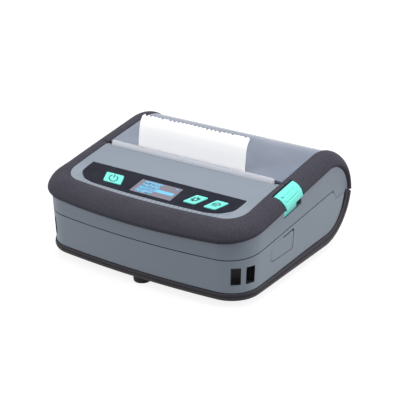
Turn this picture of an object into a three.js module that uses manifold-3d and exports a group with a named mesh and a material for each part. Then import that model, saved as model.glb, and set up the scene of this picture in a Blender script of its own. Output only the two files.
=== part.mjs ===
// Portable receipt printer with a hinged paper lid, in millimetres, +Z up.
// The origin is on the floor below the middle of the case; the front faces -Y.
import * as THREE from 'three';
import { mergeVertices } from 'three/addons/utils/BufferGeometryUtils.js';
import Module from 'manifold-3d';

const wasm = await Module();
wasm.setup();

const group = new THREE.Group();

// Overall form: a half-round rear end, and a top that runs down from it to the front
const footHeight = 4;
const rearRadius = 30.4;
const bodyWidth = 150.4;
const bodyDepth = 136.6;
const topSlope = 0.155;
const sagShare = 0.025;
const rearY = bodyDepth / 2 - rearRadius;
const rearZ = footHeight + rearRadius;

// Walls and the gaps between pieces
const gap = 0.3;
const rimWall = 2.4;
const caseWall = 2.4;
const shoulderWall = 1.8;
const deckWall = 2.2;
const windowWall = 2;
const floorWall = 2.4;
const overrun = 2;

// Plan outlines, each set in from the overall size, with the bow of its front and its corner radius
const insets = {
  rimInner: { side: 12, front: 15.5, bow: 4, corner: 13 },
  rimBulge: { side: 0, front: 0, bow: 7.2, corner: 23.5 },
  rimLow: { side: 1.1, front: 1.9, bow: 7.2, corner: 22.5 },
  wallHigh: { side: 1.6, front: 4.3, bow: 6, corner: 21 },
  wallLow: { side: 3.4, front: 6.9, bow: 4.6, corner: 18.4 },
  trimTop: { side: 2.7, front: 6.2, bow: 4.6, corner: 19.1 },
  trimInner: { side: 13.2, front: 16.9, bow: 3.6, corner: 9 },
  trimBulge: { side: 2.5, front: 6, bow: 4.6, corner: 19.3 },
};

function outlineOf({ side, front, bow, corner }) {
  return { halfWidth: bodyWidth / 2 - side, front: bodyDepth / 2 - front, bow, corner };
}

const rimInner = outlineOf(insets.rimInner);
const rimBulge = outlineOf(insets.rimBulge);
const rimLow = outlineOf(insets.rimLow);
const wallHigh = outlineOf(insets.wallHigh);
const wallLow = outlineOf(insets.wallLow);
const trimTop = outlineOf(insets.trimTop);
const trimInner = outlineOf(insets.trimInner);
const trimBulge = outlineOf(insets.trimBulge);

// The roll clears the racks below it; ahead of it come the platen and the line where lid and case part
const floorTop = footHeight + floorWall;
const rackClear = 1;
const rackHeight = 3;
const rackLow = floorTop + rackClear;
const rackHigh = rackLow + rackHeight;
const rollDrop = 2.4;
const rollClear = 1.6;
const rollSetback = 3;
const rollToPlaten = 12;
const platenToParting = 7.4;
const rollZ = rearZ - rollDrop;
const rollRadius = rollZ - rackHigh - rollClear;
const rollY = rearY - rollSetback;
const platenY = rollY - rollRadius - rollToPlaten;
const partingY = platenY - platenToParting;

// Side view: the edges of the grey side panels
const rimMargin = 7.7;
const rimRadius = rearRadius - rimMargin;
const rimSlope = 0.165;
const panelMargin = 8.6;
const panelRadius = rearRadius - panelMargin;
const panelSlope = 0.026;
const seamRise = 1.8;
const seamHeight = rearZ + seamRise;
const seamSlope = 0.103;
const partingRise = 1.6;
const rearPartingHeight = rearZ + partingRise;

// Cross-section of the bullnose rim and of the base trim, as shares of their width and height
const rimShares = [
  [0, 0], [0.07, -0.07], [0.22, -0.11], [0.42, -0.06], [0.62, 0.07], [0.8, 0.27], [0.93, 0.53], [1, 0.8],
  [0.908, 1],
];
const trimShares = [[0, 0], [0.5, 0], [0.8, 0.05], [0.94, 0.22], [1, 0.6], [0.98, 1]];

// Steps along the case
const arcSteps = 6;
const cornerSteps = 5;
const frontSteps = 3;
const rodSides = 16;
const smallSides = 12;
const fineSides = 24;
const rollSides = 32;

const materials = {
  caseGrey: new THREE.MeshStandardMaterial({ color: '#7c8691', roughness: 0.5, metalness: 0 }),
  deckGrey: new THREE.MeshStandardMaterial({ color: '#97a1ab', roughness: 0.5, metalness: 0 }),
  rimDark: new THREE.MeshStandardMaterial({ color: '#48484c', roughness: 0.65, metalness: 0 }),
  overlay: new THREE.MeshStandardMaterial({ color: '#262a35', roughness: 0.3, metalness: 0 }),
  teal: new THREE.MeshStandardMaterial({ color: '#6ff0dc', roughness: 0.4, metalness: 0 }),
  smoky: new THREE.MeshStandardMaterial({ color: '#6f7a8c', roughness: 0.25, metalness: 0 }),
  frosted: new THREE.MeshStandardMaterial({ color: '#d8dce2', roughness: 0.35, metalness: 0 }),
  screen: new THREE.MeshStandardMaterial({ color: '#7fc6ea', roughness: 0.2, metalness: 0 }),
  paper: new THREE.MeshStandardMaterial({ color: '#f4f5f6', roughness: 0.85, metalness: 0 }),
  rubber: new THREE.MeshStandardMaterial({ color: '#1d1d1f', roughness: 0.85, metalness: 0 }),
  flapGrey: new THREE.MeshStandardMaterial({ color: '#7a848f', roughness: 0.7, metalness: 0 }),
  innerBlack: new THREE.MeshStandardMaterial({ color: '#26272a', roughness: 0.7, metalness: 0 }),
  steel: new THREE.MeshStandardMaterial({ color: '#b4b8bc', roughness: 0.35, metalness: 1 }),
  gearWhite: new THREE.MeshStandardMaterial({ color: '#dedfda', roughness: 0.5, metalness: 0 }),
  board: new THREE.MeshStandardMaterial({ color: '#1d5a3a', roughness: 0.5, metalness: 0 }),
  copperTone: new THREE.MeshStandardMaterial({ color: '#b98c4e', roughness: 0.4, metalness: 0.6 }),
  cardboard: new THREE.MeshStandardMaterial({ color: '#a8845c', roughness: 0.9, metalness: 0 }),
};

// Solids

function solidOf(geometry) {
  const bare = geometry.clone();
  bare.deleteAttribute('normal');
  bare.deleteAttribute('uv');
  const merged = mergeVertices(bare, 1e-4);
  const vertProperties = new Float32Array(merged.attributes.position.array);
  const triVerts = new Uint32Array(merged.index.array);
  return new wasm.Manifold(new wasm.Mesh({ numProp: 3, vertProperties, triVerts }));
}

function geometryOf(solid) {
  const mesh = solid.getMesh();
  const geometry = new THREE.BufferGeometry();
  const positions = [];
  for (let i = 0; i < mesh.vertProperties.length; i += mesh.numProp) {
    positions.push(mesh.vertProperties[i], mesh.vertProperties[i + 1], mesh.vertProperties[i + 2]);
  }
  geometry.setAttribute('position', new THREE.Float32BufferAttribute(positions, 3));
  geometry.setIndex(Array.from(mesh.triVerts));
  geometry.computeVertexNormals();
  return geometry;
}

function piece(name, solid, material) {
  const mesh = new THREE.Mesh(geometryOf(solid), material);
  mesh.name = name;
  group.add(mesh);
  return mesh;
}

function joined(...solids) {
  return solids.reduce((whole, next) => whole.add(next));
}

function cutFrom(solid, ...tools) {
  return tools.reduce((rest, tool) => rest.subtract(tool), solid);
}

function box(x0, x1, y0, y1, z0, z1) {
  const geometry = new THREE.BoxGeometry(x1 - x0, y1 - y0, z1 - z0);
  geometry.translate((x0 + x1) / 2, (y0 + y1) / 2, (z0 + z1) / 2);
  return solidOf(geometry);
}

// A plate whose outline is given in X and Y, from height z0 to z1
function plateZ(points, z0, z1) {
  const shape = new THREE.Shape(points.map(([x, y]) => new THREE.Vector2(x, y)));
  const geometry = new THREE.ExtrudeGeometry(shape, { depth: z1 - z0, bevelEnabled: false });
  geometry.translate(0, 0, z0);
  return solidOf(geometry);
}

// A bar whose outline is given in Y and Z, from x0 to x1
function barX(points, x0, x1) {
  const shape = new THREE.Shape(points.map(([y, z]) => new THREE.Vector2(y, z)));
  const geometry = new THREE.ExtrudeGeometry(shape, { depth: x1 - x0, bevelEnabled: false });
  const turn = new THREE.Matrix4().set(0, 0, 1, x0, 1, 0, 0, 0, 0, 1, 0, 0, 0, 0, 0, 1);
  geometry.applyMatrix4(turn);
  return solidOf(geometry);
}

function rodX(y, z, radius, x0, x1, sides = rodSides) {
  const geometry = new THREE.CylinderGeometry(radius, radius, x1 - x0, sides);
  geometry.rotateZ(Math.PI / 2);
  geometry.translate((x0 + x1) / 2, y, z);
  return solidOf(geometry);
}

function rodZ(x, y, radius, z0, z1, sides = rodSides) {
  const geometry = new THREE.CylinderGeometry(radius, radius, z1 - z0, sides);
  geometry.rotateX(Math.PI / 2);
  geometry.translate(x, y, (z0 + z1) / 2);
  return solidOf(geometry);
}

function rodY(x, z, radius, y0, y1, sides = rodSides) {
  const geometry = new THREE.CylinderGeometry(radius, radius, y1 - y0, sides);
  geometry.translate(x, (y0 + y1) / 2, z);
  return solidOf(geometry);
}

// A closed solid through a row of closed rings with equal counts; flat is the ring's own outline
function loft(rings, flat) {
  const count = rings[0].length;
  const positions = [];
  for (const ring of rings) {
    for (const point of ring) {
      positions.push(point.x, point.y, point.z);
    }
  }
  const index = [];
  for (let i = 0; i < rings.length - 1; i++) {
    for (let j = 0; j < count; j++) {
      const a = i * count + j;
      const b = i * count + ((j + 1) % count);
      index.push(a, b, a + count, b, b + count, a + count);
    }
  }
  const faces = THREE.ShapeUtils.triangulateShape(flat.map(([u, v]) => new THREE.Vector2(u, v)), []);
  const last = (rings.length - 1) * count;
  const turned = THREE.ShapeUtils.area(flat.map(([u, v]) => new THREE.Vector2(u, v))) > 0;
  for (const [a, b, c] of faces) {
    index.push(...(turned ? [c, b, a] : [a, b, c]));
    index.push(...(turned ? [last + a, last + b, last + c] : [last + c, last + b, last + a]));
  }
  if (!turned) {
    for (let i = 0; i < (rings.length - 1) * count * 6; i += 3) {
      const keep = index[i + 1];
      index[i + 1] = index[i + 2];
      index[i + 2] = keep;
    }
  }
  if (volumeOf(positions, index) < 0) {
    index.reverse();
  }
  const geometry = new THREE.BufferGeometry();
  geometry.setAttribute('position', new THREE.Float32BufferAttribute(positions, 3));
  geometry.setIndex(index);
  return solidOf(geometry);
}

function volumeOf(positions, index) {
  const at = (i) => new THREE.Vector3(positions[3 * i], positions[3 * i + 1], positions[3 * i + 2]);
  let sum = 0;
  for (let i = 0; i < index.length; i += 3) {
    sum += at(index[i]).dot(at(index[i + 1]).cross(at(index[i + 2]))) / 6;
  }
  return sum;
}

// Heights along the case

function topHeight(y) {
  const line = rearZ + topSlope * (y - rearY) + rearRadius * Math.hypot(1, topSlope);
  const ahead = Math.max(0, partingY - y);
  return line - sagShare * ahead * ahead / (rimBulge.front - rimWall * 2);
}

function rimLowHeight(y) {
  return rearZ + rimSlope * (y - rearY) + rimRadius * Math.hypot(1, rimSlope);
}

function panelLowHeight(y) {
  return rearZ + panelSlope * (y - rearY) - panelRadius * Math.hypot(1, panelSlope);
}

function seamHeightAt(y) {
  return seamHeight + seamSlope * y;
}

// Places along the U-shaped path round the case, from the right rear to the middle of the front

function arcStations(startShare, steps) {
  const list = [];
  for (let i = 0; i <= steps; i++) {
    list.push({ zone: 'arc', share: startShare + (1 - startShare) * (i / steps) });
  }
  return list;
}

function sideStations(...places) {
  return places.map((y) => ({ zone: 'side', y }));
}

function frontStations() {
  const list = [];
  for (let i = 0; i <= cornerSteps; i++) {
    list.push({ zone: 'corner', share: i / cornerSteps });
  }
  for (let i = 1; i <= frontSteps; i++) {
    list.push({ zone: 'front', share: i / frontSteps });
  }
  return list;
}

// Corner of a plan outline: its centre, and how far round it the corner turns
function cornerOf({ halfWidth, front, bow, corner }) {
  const turn = Math.atan2(2 * bow * (halfWidth - corner), halfWidth * halfWidth);
  const x = halfWidth - corner;
  const endX = x + corner * Math.sin(turn);
  const y = -front + bow * (endX / halfWidth) ** 2 + corner * Math.cos(turn);
  return { x, y, endX, sweep: Math.PI / 2 - turn };
}

// A point of a plan outline at one station; on the rear arc only X comes from it
function planPoint(outline, station) {
  const { x, y, endX, sweep } = cornerOf(outline);
  if (station.zone === 'corner') {
    const angle = sweep * station.share;
    return new THREE.Vector2(x + outline.corner * Math.cos(angle), y - outline.corner * Math.sin(angle));
  }
  if (station.zone === 'front') {
    const across = endX * (1 - station.share);
    return new THREE.Vector2(across, -outline.front + outline.bow * (across / outline.halfWidth) ** 2);
  }
  return new THREE.Vector2(outline.halfWidth, station.y ?? 0);
}

// A rail round the case: an outline at a height that depends on Y, with an arc round the rear
function railPoint(outline, station, { height, radius, slope, side }) {
  if (station.zone === 'arc') {
    const start = Math.asin((rearPartingHeight - rearZ) / radius) * side;
    const full = Math.PI / 2 + Math.atan(slope) * side;
    const angle = start + (full - start) * station.share;
    const y = rearY + radius * Math.cos(angle);
    return new THREE.Vector3(outline.halfWidth, y, rearZ + side * radius * Math.sin(angle));
  }
  const plan = planPoint(outline, station);
  return new THREE.Vector3(plan.x, plan.y, height(plan.y));
}

const topRail = { height: topHeight, radius: rearRadius, slope: topSlope, side: 1 };
const rimLowRail = { height: rimLowHeight, radius: rimRadius, slope: rimSlope, side: 1 };
const panelLowRail = { height: panelLowHeight, radius: panelRadius, slope: panelSlope, side: -1 };
const bottomRail = { height: () => footHeight, radius: rearRadius, slope: 0, side: -1 };

// The cross-section frame at a station: lateral direction and length, and depth direction and length
function frameAt(station, inner, innerRail, bulge, low, lowRail, shares) {
  const origin = railPoint(inner, station, innerRail);
  const outer = railPoint(bulge, station, innerRail);
  const lateral = new THREE.Vector3(outer.x - origin.x, outer.y - origin.y, 0);
  const lowShare = shares[shares.length - 1][0];
  const foot = railPoint(low, station, lowRail);
  const depth = foot.clone().sub(origin).addScaledVector(lateral, -lowShare);
  return {
    origin,
    width: lateral.length(),
    height: depth.length(),
    lateral: lateral.normalize(),
    depth: depth.normalize(),
  };
}

function rimFrame(station) {
  return frameAt(station, rimInner, topRail, rimBulge, rimLow, rimLowRail, rimShares);
}

function trimFrame(station) {
  return frameAt(station, trimInner, bottomRail, trimBulge, trimTop, panelLowRail, trimShares);
}

function placeIn(frame, across, down) {
  return frame.origin.clone().addScaledVector(frame.lateral, across).addScaledVector(frame.depth, down);
}

function mirrored(rings) {
  const left = rings.map((ring) => ring.map((point) => new THREE.Vector3(-point.x, point.y, point.z)));
  return rings.concat(left.slice(0, -1).reverse());
}

// Sweeps a section along the stations; both sides mirrors it round the middle of the front
function sweep(stations, sectionAt, bothSides) {
  const rings = stations.map((station) => sectionAt(station).ring);
  const flat = sectionAt(stations[0]).flat;
  return loft(bothSides ? mirrored(rings) : rings, flat);
}

function mirrorX(solid) {
  const geometry = geometryOf(solid);
  geometry.scale(-1, 1, 1);
  const index = geometry.index.array;
  for (let i = 0; i < index.length; i += 3) {
    const keep = index[i + 1];
    index[i + 1] = index[i + 2];
    index[i + 2] = keep;
  }
  return solidOf(geometry);
}

// Shells

// Points of a curved shell section: the outer curve, and an inner one a wall away
function curvePoints(frame, shares, inset, depthInset, downwards) {
  const points = shares.map(([across, down]) => [
    across * (frame.width - inset),
    depthInset + down * (frame.height - depthInset),
  ]);
  return downwards ? points : points.reverse();
}

function sectionFrom(frame, flat) {
  return { flat, ring: flat.map(([across, down]) => placeIn(frame, across, down)) };
}

function rimSection(station) {
  const frame = rimFrame(station);
  const outer = curvePoints(frame, rimShares, 0, 0, true);
  const inner = curvePoints(frame, rimShares.filter((share, i) => i !== 1), rimWall, rimWall, false);
  return sectionFrom(frame, outer.concat(inner));
}

// The lid's arm is the rim section with a ledge that the window lies on
const ledgeWidth = 1.6;
const ledgeWall = 1.8;

function armSection(station) {
  const frame = rimFrame(station);
  const outer = curvePoints(frame, rimShares, 0, 0, true);
  const inner = curvePoints(frame, rimShares.slice(2), rimWall, rimWall, false);
  const seat = windowWall + gap;
  const ledge = [[0, seat + ledgeWall], [-ledgeWidth, seat + ledgeWall], [-ledgeWidth, seat], [0, seat]];
  return sectionFrom(frame, outer.concat(inner, ledge));
}

// The upper case carries on under the rim to the deck
const flangeWidth = 3.4;
const wallLap = 2.5;

function shoulderSection(station) {
  const frame = rimFrame(station);
  const topInset = rimWall + gap;
  const lowInset = topInset + shoulderWall;
  const curve = rimShares.slice(2);
  const outer = curvePoints(frame, curve, topInset, topInset, true);
  const inner = curvePoints(frame, curve, lowInset, lowInset, false);
  const wall = railPoint(wallHigh, station, rimLowRail).sub(frame.origin).dot(frame.lateral);
  const lap = frame.height + wallLap;
  const skin = [[wall - gap, lap], [wall - caseWall - gap, lap]];
  const flange = [[-flangeWidth, lowInset], [-flangeWidth, 0], [-gap, 0], [-gap, topInset]];
  return sectionFrom(frame, flange.concat(outer, skin, inner));
}

function wallSection(station) {
  const top = railPoint(wallHigh, station, rimLowRail);
  const low = railPoint(wallLow, station, panelLowRail);
  const innerTop = railPoint(insetOutline(wallHigh, caseWall), station, rimLowRail);
  const innerLow = railPoint(insetOutline(wallLow, caseWall), station, panelLowRail);
  const lift = new THREE.Vector3(0, 0, gap);
  const inward = new THREE.Vector3(0, 0, 0);
  if (station.zone === 'arc') {
    inward.set(0, rearY - top.y, rearZ - top.z).setLength(gap);
    lift.set(0, 0, 0);
    top.add(inward);
    innerTop.add(inward);
    inward.z *= -1;
    low.add(inward);
    innerLow.add(inward);
  } else {
    top.z = railPoint(rimLow, station, rimLowRail).z;
    innerTop.z = top.z;
  }
  top.sub(lift);
  innerTop.sub(lift);
  low.add(lift);
  innerLow.add(lift);
  return { flat: [[1, 0], [1, 1], [0, 1], [0, 0]], ring: [low, top, innerTop, innerLow] };
}

function insetOutline(outline, inset) {
  return {
    halfWidth: outline.halfWidth - inset,
    front: outline.front - inset,
    bow: outline.bow,
    corner: outline.corner - inset,
  };
}

function trimSection(station) {
  const frame = trimFrame(station);
  const outer = curvePoints(frame, trimShares, 0, 0, true);
  const inner = curvePoints(frame, trimShares.filter((share, i) => i !== 1), floorWall, floorWall, false);
  return sectionFrom(frame, outer.concat(inner));
}

// Half of a plan outline from the rear to the front middle, then the other half back
function planOutline(outline, inset, rearEnd) {
  const inner = insetOutline(outline, inset);
  const half = [new THREE.Vector2(inner.halfWidth, rearEnd)];
  half.push(...frontStations().map((station) => planPoint(inner, station)));
  const left = half.slice(0, -1).reverse().map((point) => new THREE.Vector2(-point.x, point.y));
  return half.concat(left).map((point) => [point.x, point.y]);
}

// Points of the rear arc about its axis, from one angle to another in degrees
function arcPoints(radius, fromAngle, toAngle, steps) {
  const points = [];
  for (let i = 0; i <= steps; i++) {
    const angle = THREE.MathUtils.degToRad(fromAngle + (toAngle - fromAngle) * (i / steps));
    points.push([rearY + radius * Math.cos(angle), rearZ + radius * Math.sin(angle)]);
  }
  return points;
}

const wallStations = arcStations(0, arcSteps).concat(sideStations(rearY - rimRadius), frontStations());
const rearTip = box(-bodyDepth, bodyDepth, rearY + panelRadius - gap * 2, bodyDepth, 0, rearPartingHeight + gap);
const fullWall = cutFrom(sweep(wallStations, wallSection, true), rearTip);

// Seam between the two grey shells: a straight line with a hooked step near the rear
const hookSetback = 2.4;
const hookY = rearY + hookSetback;
const hookDrop = 6.2;
const hookShares = [[0, 0], [0.35, -0.06], [0.62, -0.25], [0.8, -0.55], [1, -1]];
const hookLength = 6.7;

function seamLine(shift) {
  const start = seamHeightAt(hookY);
  const front = [[-bodyDepth, seamHeightAt(-bodyDepth) + shift]];
  const hook = hookShares.map(([along, drop]) => [hookY + along * hookLength, start + drop * hookDrop + shift]);
  return front.concat(hook, [[bodyDepth, rearPartingHeight + shift - gap]]);
}

const belowSeam = barX(
  seamLine(-gap / 2).concat([[bodyDepth, -bodyDepth], [-bodyDepth, -bodyDepth]]),
  -bodyDepth,
  bodyDepth,
);
const aboveSeam = barX(
  seamLine(gap / 2).concat([[bodyDepth, bodyDepth], [-bodyDepth, bodyDepth]]),
  -bodyDepth,
  bodyDepth,
);

// Latch zone on the right rim
const latchAhead = 12.9;
const latchBehind = 7.9;
const latchFront = partingY - latchAhead;
const latchBack = partingY + latchBehind;
const latchInset = 1.9;
const recessDepth = 5.4;
const latchX0 = rimInner.halfWidth + latchInset;

function latchPocket(clear, below) {
  const y0 = latchFront - clear;
  const y1 = latchBack + clear;
  const points = [
    [y0, rimLowHeight(y0) - below],
    [y1, rimLowHeight(y1) - below],
    [y1, bodyDepth],
    [y0, bodyDepth],
  ];
  return barX(points, latchX0, bodyDepth);
}

// Strap holes at the two front corners, at their angles round the corner
const strapAngles = [22.5, 50];
const strapWidth = 5.8;
const strapHoleLow = 14.8;
const strapHoleHigh = 25.4;
const strapReach = 9.6;
const pocketWall = 1.4;
const cornerMid = cornerOf(wallLow);
const cornerInnerRadius = wallLow.corner - caseWall;

function strapCuts() {
  return strapAngles.map((degrees) => {
    const angle = -THREE.MathUtils.degToRad(degrees);
    const geometry = new THREE.BoxGeometry(strapReach, strapWidth, strapHoleHigh - strapHoleLow);
    geometry.translate(cornerInnerRadius + strapReach / 2 - caseWall, 0, 0);
    geometry.rotateZ(angle);
    geometry.translate(cornerMid.x, cornerMid.y, (strapHoleLow + strapHoleHigh) / 2);
    return solidOf(geometry);
  });
}

function bothSides(solids) {
  return solids.flatMap((solid) => [solid, mirrorX(solid)]);
}

// Port opening in the right wall, closed by a rubber flap
const flapAhead = 24.4;
const flapBehind = 1.2;
const flapFront = partingY - flapAhead;
const flapBack = partingY + flapBehind;
const flapTopY = (flapFront + flapBack) / 2;
const flapDrop = 2.642;
const flapHeight = 12.3;
const flapHigh = seamHeightAt(flapTopY) - flapDrop;
const flapLow = flapHigh - flapHeight;
const flapCorner = 4;
const flapTail = 1.6;
const flapWall = 1.6;

const quarterTurn = 90;
const flapCornerSteps = 3;

function flapOutline(inset) {
  const top = (y) => flapHigh + seamSlope * (y - flapTopY) - inset;
  const y0 = flapFront + inset;
  const y1 = flapBack - inset;
  const z0 = flapLow + inset;
  const points = [];
  const corners = [
    [y1 - flapTail, z0 + flapTail, flapTail, -quarterTurn],
    [y1 - flapTail, top(y1) - flapTail, flapTail, 0],
    [y0 + flapCorner, top(y0) - flapCorner, flapCorner, quarterTurn],
    [y0 + flapCorner, z0 + flapCorner, flapCorner, quarterTurn * 2],
  ];
  for (const [y, z, radius, start] of corners) {
    for (let i = 0; i <= flapCornerSteps; i++) {
      const angle = THREE.MathUtils.degToRad(start + quarterTurn * (i / flapCornerSteps));
      points.push([y + radius * Math.cos(angle), z + radius * Math.sin(angle)]);
    }
  }
  return points;
}

// Upper case with its deck; the recess under the latch is cut through the wall
const deckSetback = 2;
const deckRear = partingY - deckSetback;
const deckFrontY = -rimInner.front - overrun;
const deckSteps = 6;

function deckLine(y0, y1, drop) {
  const points = [];
  for (let i = 0; i <= deckSteps; i++) {
    const y = y0 + (y1 - y0) * (i / deckSteps);
    points.push([y, topHeight(y) - drop]);
  }
  return points;
}

const shoulderStations = sideStations(partingY - gap / 2).concat(frontStations());
const shoulder = sweep(shoulderStations, shoulderSection, true);
const deckPlan = plateZ(planOutline(rimInner, gap, deckRear), rearZ - rearRadius, rearZ + rearRadius * 2);
const deckBar = barX(
  deckLine(deckFrontY, deckRear, 0).concat(deckLine(deckFrontY, deckRear, deckWall).reverse()),
  -rimInner.halfWidth,
  rimInner.halfWidth,
);

// Openings in the deck under the control overlay, at shares of its half width and of the deck's depth
const overlayMargin = 7.7;
const overlayHalfWidth = rimInner.halfWidth - overlayMargin;
const displayWidthShare = 0.2694;
const displayEndShares = [0.1361, 0.4363];
const buttonEndShares = [0.1793, 0.3844];
const buttonWidthShares = [0.245, 0.155];
const buttonPlaceShares = [-0.562, 0.506, 0.7585];
const displayHalfWidth = overlayHalfWidth * displayWidthShare;
const [displayFront, displayBack] = displayEndShares.map(deckAt);
const [buttonFront, buttonBack] = buttonEndShares.map(deckAt);
const buttonShift = 3.9;
const [wideButton, narrowButton] = buttonWidthShares.map((share) => overlayHalfWidth * share);
const [powerX, settingsX, feedX] = buttonPlaceShares.map((share) => overlayHalfWidth * share);
const buttons = [
  { name: 'power_button', x: powerX, width: wideButton, shift: -1 },
  { name: 'settings_button', x: settingsX, width: narrowButton, shift: 1 },
  { name: 'feed_button', x: feedX, width: narrowButton, shift: 1 },
];

function deckAt(share) {
  return (deckRear + rimInner.front) * share - rimInner.front;
}

function buttonOutline({ x, width, shift }, inset) {
  const half = width / 2 - inset;
  const lean = shift * buttonShift / 2;
  return [
    [x - half - lean, buttonFront + inset],
    [x + half - lean, buttonFront + inset],
    [x + half + lean, buttonBack - inset],
    [x - half + lean, buttonBack - inset],
  ];
}

// Below the surface everything on the control panel is square to the sloping deck
const panelY = (buttonBack + buttonFront) / 2;
const panelSlopeAngle = Math.atan((topHeight(buttonBack) - topHeight(buttonFront)) / (buttonBack - buttonFront));

function onDeck(points, low, high) {
  const flat = points.map(([x, y]) => [x, (y - panelY) / Math.cos(panelSlopeAngle)]);
  const geometry = geometryOf(plateZ(flat, low, high));
  geometry.rotateX(panelSlopeAngle);
  geometry.translate(0, panelY, topHeight(panelY));
  return solidOf(geometry);
}

const panelCut = 6;
const buttonHoles = buttons.map((button) => onDeck(buttonOutline(button, 0), -panelCut, panelCut));
const displayPlan = [
  [-displayHalfWidth, displayFront],
  [displayHalfWidth, displayFront],
  [displayHalfWidth, displayBack],
  [-displayHalfWidth, displayBack],
];

function grown(points, amount) {
  const middle = points.reduce((sum, [x, y]) => [sum[0] + x / points.length, sum[1] + y / points.length], [0, 0]);
  return points.map(([x, y]) => [x + Math.sign(x - middle[0]) * amount, y + Math.sign(y - middle[1]) * amount]);
}

const displayHole = onDeck(grown(displayPlan, -caseWall / 2), -panelCut, panelCut);

// Shallow seat in the deck for the overlay
const overlayWall = 0.8;
const overlayEndShares = [0.0734, 0.5248];
const [overlayFront, overlayBack] = overlayEndShares.map(deckAt);
const overlayShares = [[1, 0], [1, -0.28], [0.985, -0.58], [0.93, -0.77], [0.85, -0.92], [0.72, -1], [0, -1]];

function overlayOutline(inset) {
  const depth = overlayBack - overlayFront;
  const half = overlayShares.map(([across, along]) => [
    across * overlayHalfWidth - Math.sign(across) * inset,
    overlayBack + along * depth - (along === 0 ? inset : Math.sign(along) * inset),
  ]);
  const left = half.slice(0, -1).reverse().map(([x, y]) => [-x, y]);
  return half.concat(left);
}

function deckSkin(outline, low, high) {
  const plan = plateZ(outline, rearZ - rearRadius, rearZ + rearRadius * 2);
  const skin = barX(
    deckLine(deckFrontY, deckRear, -high).concat(deckLine(deckFrontY, deckRear, -low).reverse()),
    -rimInner.halfWidth,
    rimInner.halfWidth,
  );
  return skin.intersect(plan);
}

const overlaySeat = deckSkin(overlayOutline(-gap), -overlayWall - gap, overrun);

const upperWalls = fullWall.intersect(aboveSeam);
const upperCase = cutFrom(
  joined(upperWalls, shoulder, deckBar.intersect(deckPlan)),
  latchPocket(gap, recessDepth),
  ...buttonHoles,
  displayHole,
  overlaySeat,
);
piece('upper_case', upperCase, materials.deckGrey);

// Control panel
const displayCut = onDeck(displayPlan, -panelCut, panelCut);
const overlay = cutFrom(deckSkin(overlayOutline(0), -overlayWall, 0), ...buttonHoles, displayCut);
piece('control_overlay', overlay, materials.overlay);

const displayRim = 2;
const moduleTop = deckWall + gap * 2;
const moduleBottom = 6;
const displayLens = onDeck(grown(displayPlan, -gap), -overlayWall, 0);
piece('display_lens', displayLens, materials.screen);

const displayModule = joined(
  onDeck(grown(displayPlan, -caseWall / 2 - gap), -moduleTop - gap, -overlayWall - gap),
  onDeck(grown(displayPlan, displayRim), -moduleBottom, -moduleTop),
);
piece('display_module', displayModule, materials.innerBlack);

// The buttons, and the rubber pads and board under them, as depths below the panel
const buttonProud = 0.5;
const buttonTravel = 0.6;
const buttonBottom = 3.4;
const buttonLip = 0.8;
const domeTop = buttonBottom + buttonTravel + gap;
const domeInset = 1.8;
const padTop = 5.2;
const padBottom = 6;
const padMargin = 2;
const boardTop = padBottom + gap;
const boardWall = 1.6;
const buttonBoardReach = 4;

for (const button of buttons) {
  const cap = onDeck(buttonOutline(button, gap), -buttonBottom, buttonProud);
  const lip = onDeck(buttonOutline(button, -buttonLip), -buttonBottom, -deckWall - gap - gap / 2);
  piece(button.name, cap.add(lip), materials.teal);
}

function keyPad(pads) {
  const left = Math.min(...pads.map(({ x, width }) => x - width / 2)) - padMargin;
  const right = Math.max(...pads.map(({ x, width }) => x + width / 2)) + padMargin;
  const plan = [[left, buttonFront], [right, buttonFront], [right, buttonBack], [left, buttonBack]];
  const sheet = onDeck(plan, -padBottom, -padTop);
  const domes = pads.map((button) => onDeck(buttonOutline(button, domeInset), -padBottom, -domeTop));
  return joined(sheet, ...domes);
}

const [powerButton, settingsButton, feedButton] = buttons;
piece('key_pad_left', keyPad([powerButton]), materials.rubber);
piece('key_pad_right', keyPad([settingsButton, feedButton]), materials.rubber);

const boardLeft = powerButton.x - powerButton.width / 2 - buttonBoardReach;
const boardRight = feedButton.x + feedButton.width / 2 + buttonBoardReach;
const buttonBoard = onDeck(
  [[boardLeft, buttonFront], [boardRight, buttonFront], [boardRight, buttonBack], [boardLeft, buttonBack]],
  -boardTop - boardWall,
  -boardTop,
);
piece('button_board', buttonBoard, materials.board);

// Dark bumper round the front of the deck
const bumper = cutFrom(sweep(shoulderStations, rimSection, true), latchPocket(gap, overrun));
piece('front_bumper', bumper, materials.rimDark);

// Serrated edge that the paper is torn on, on the bracket of the print head
const tearMargin = 4.1;
const tearRise = 2.409;
const tearHeight = 6.2;
const tearWall = 2.3;
const tearAhead = 1.6;
const tearBevelDepth = 1.3;
const tearBevelHeight = 2.9;
const tearHalfWidth = rimInner.halfWidth - tearMargin;
const tearTop = topHeight(partingY) + tearRise;
const tearBottom = tearTop - tearHeight;
const tearFrontY = partingY - tearAhead;
const tearRearY = tearFrontY + tearWall;
const tearSlope = [[tearFrontY, tearTop - tearBevelHeight], [tearFrontY + tearBevelDepth, tearTop]];
const tearBar = barX(
  [[tearFrontY, tearBottom], ...tearSlope, [tearRearY, tearTop], [tearRearY, tearBottom]],
  -tearHalfWidth,
  tearHalfWidth,
);
piece('tear_bar', tearBar, materials.frosted);

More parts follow.
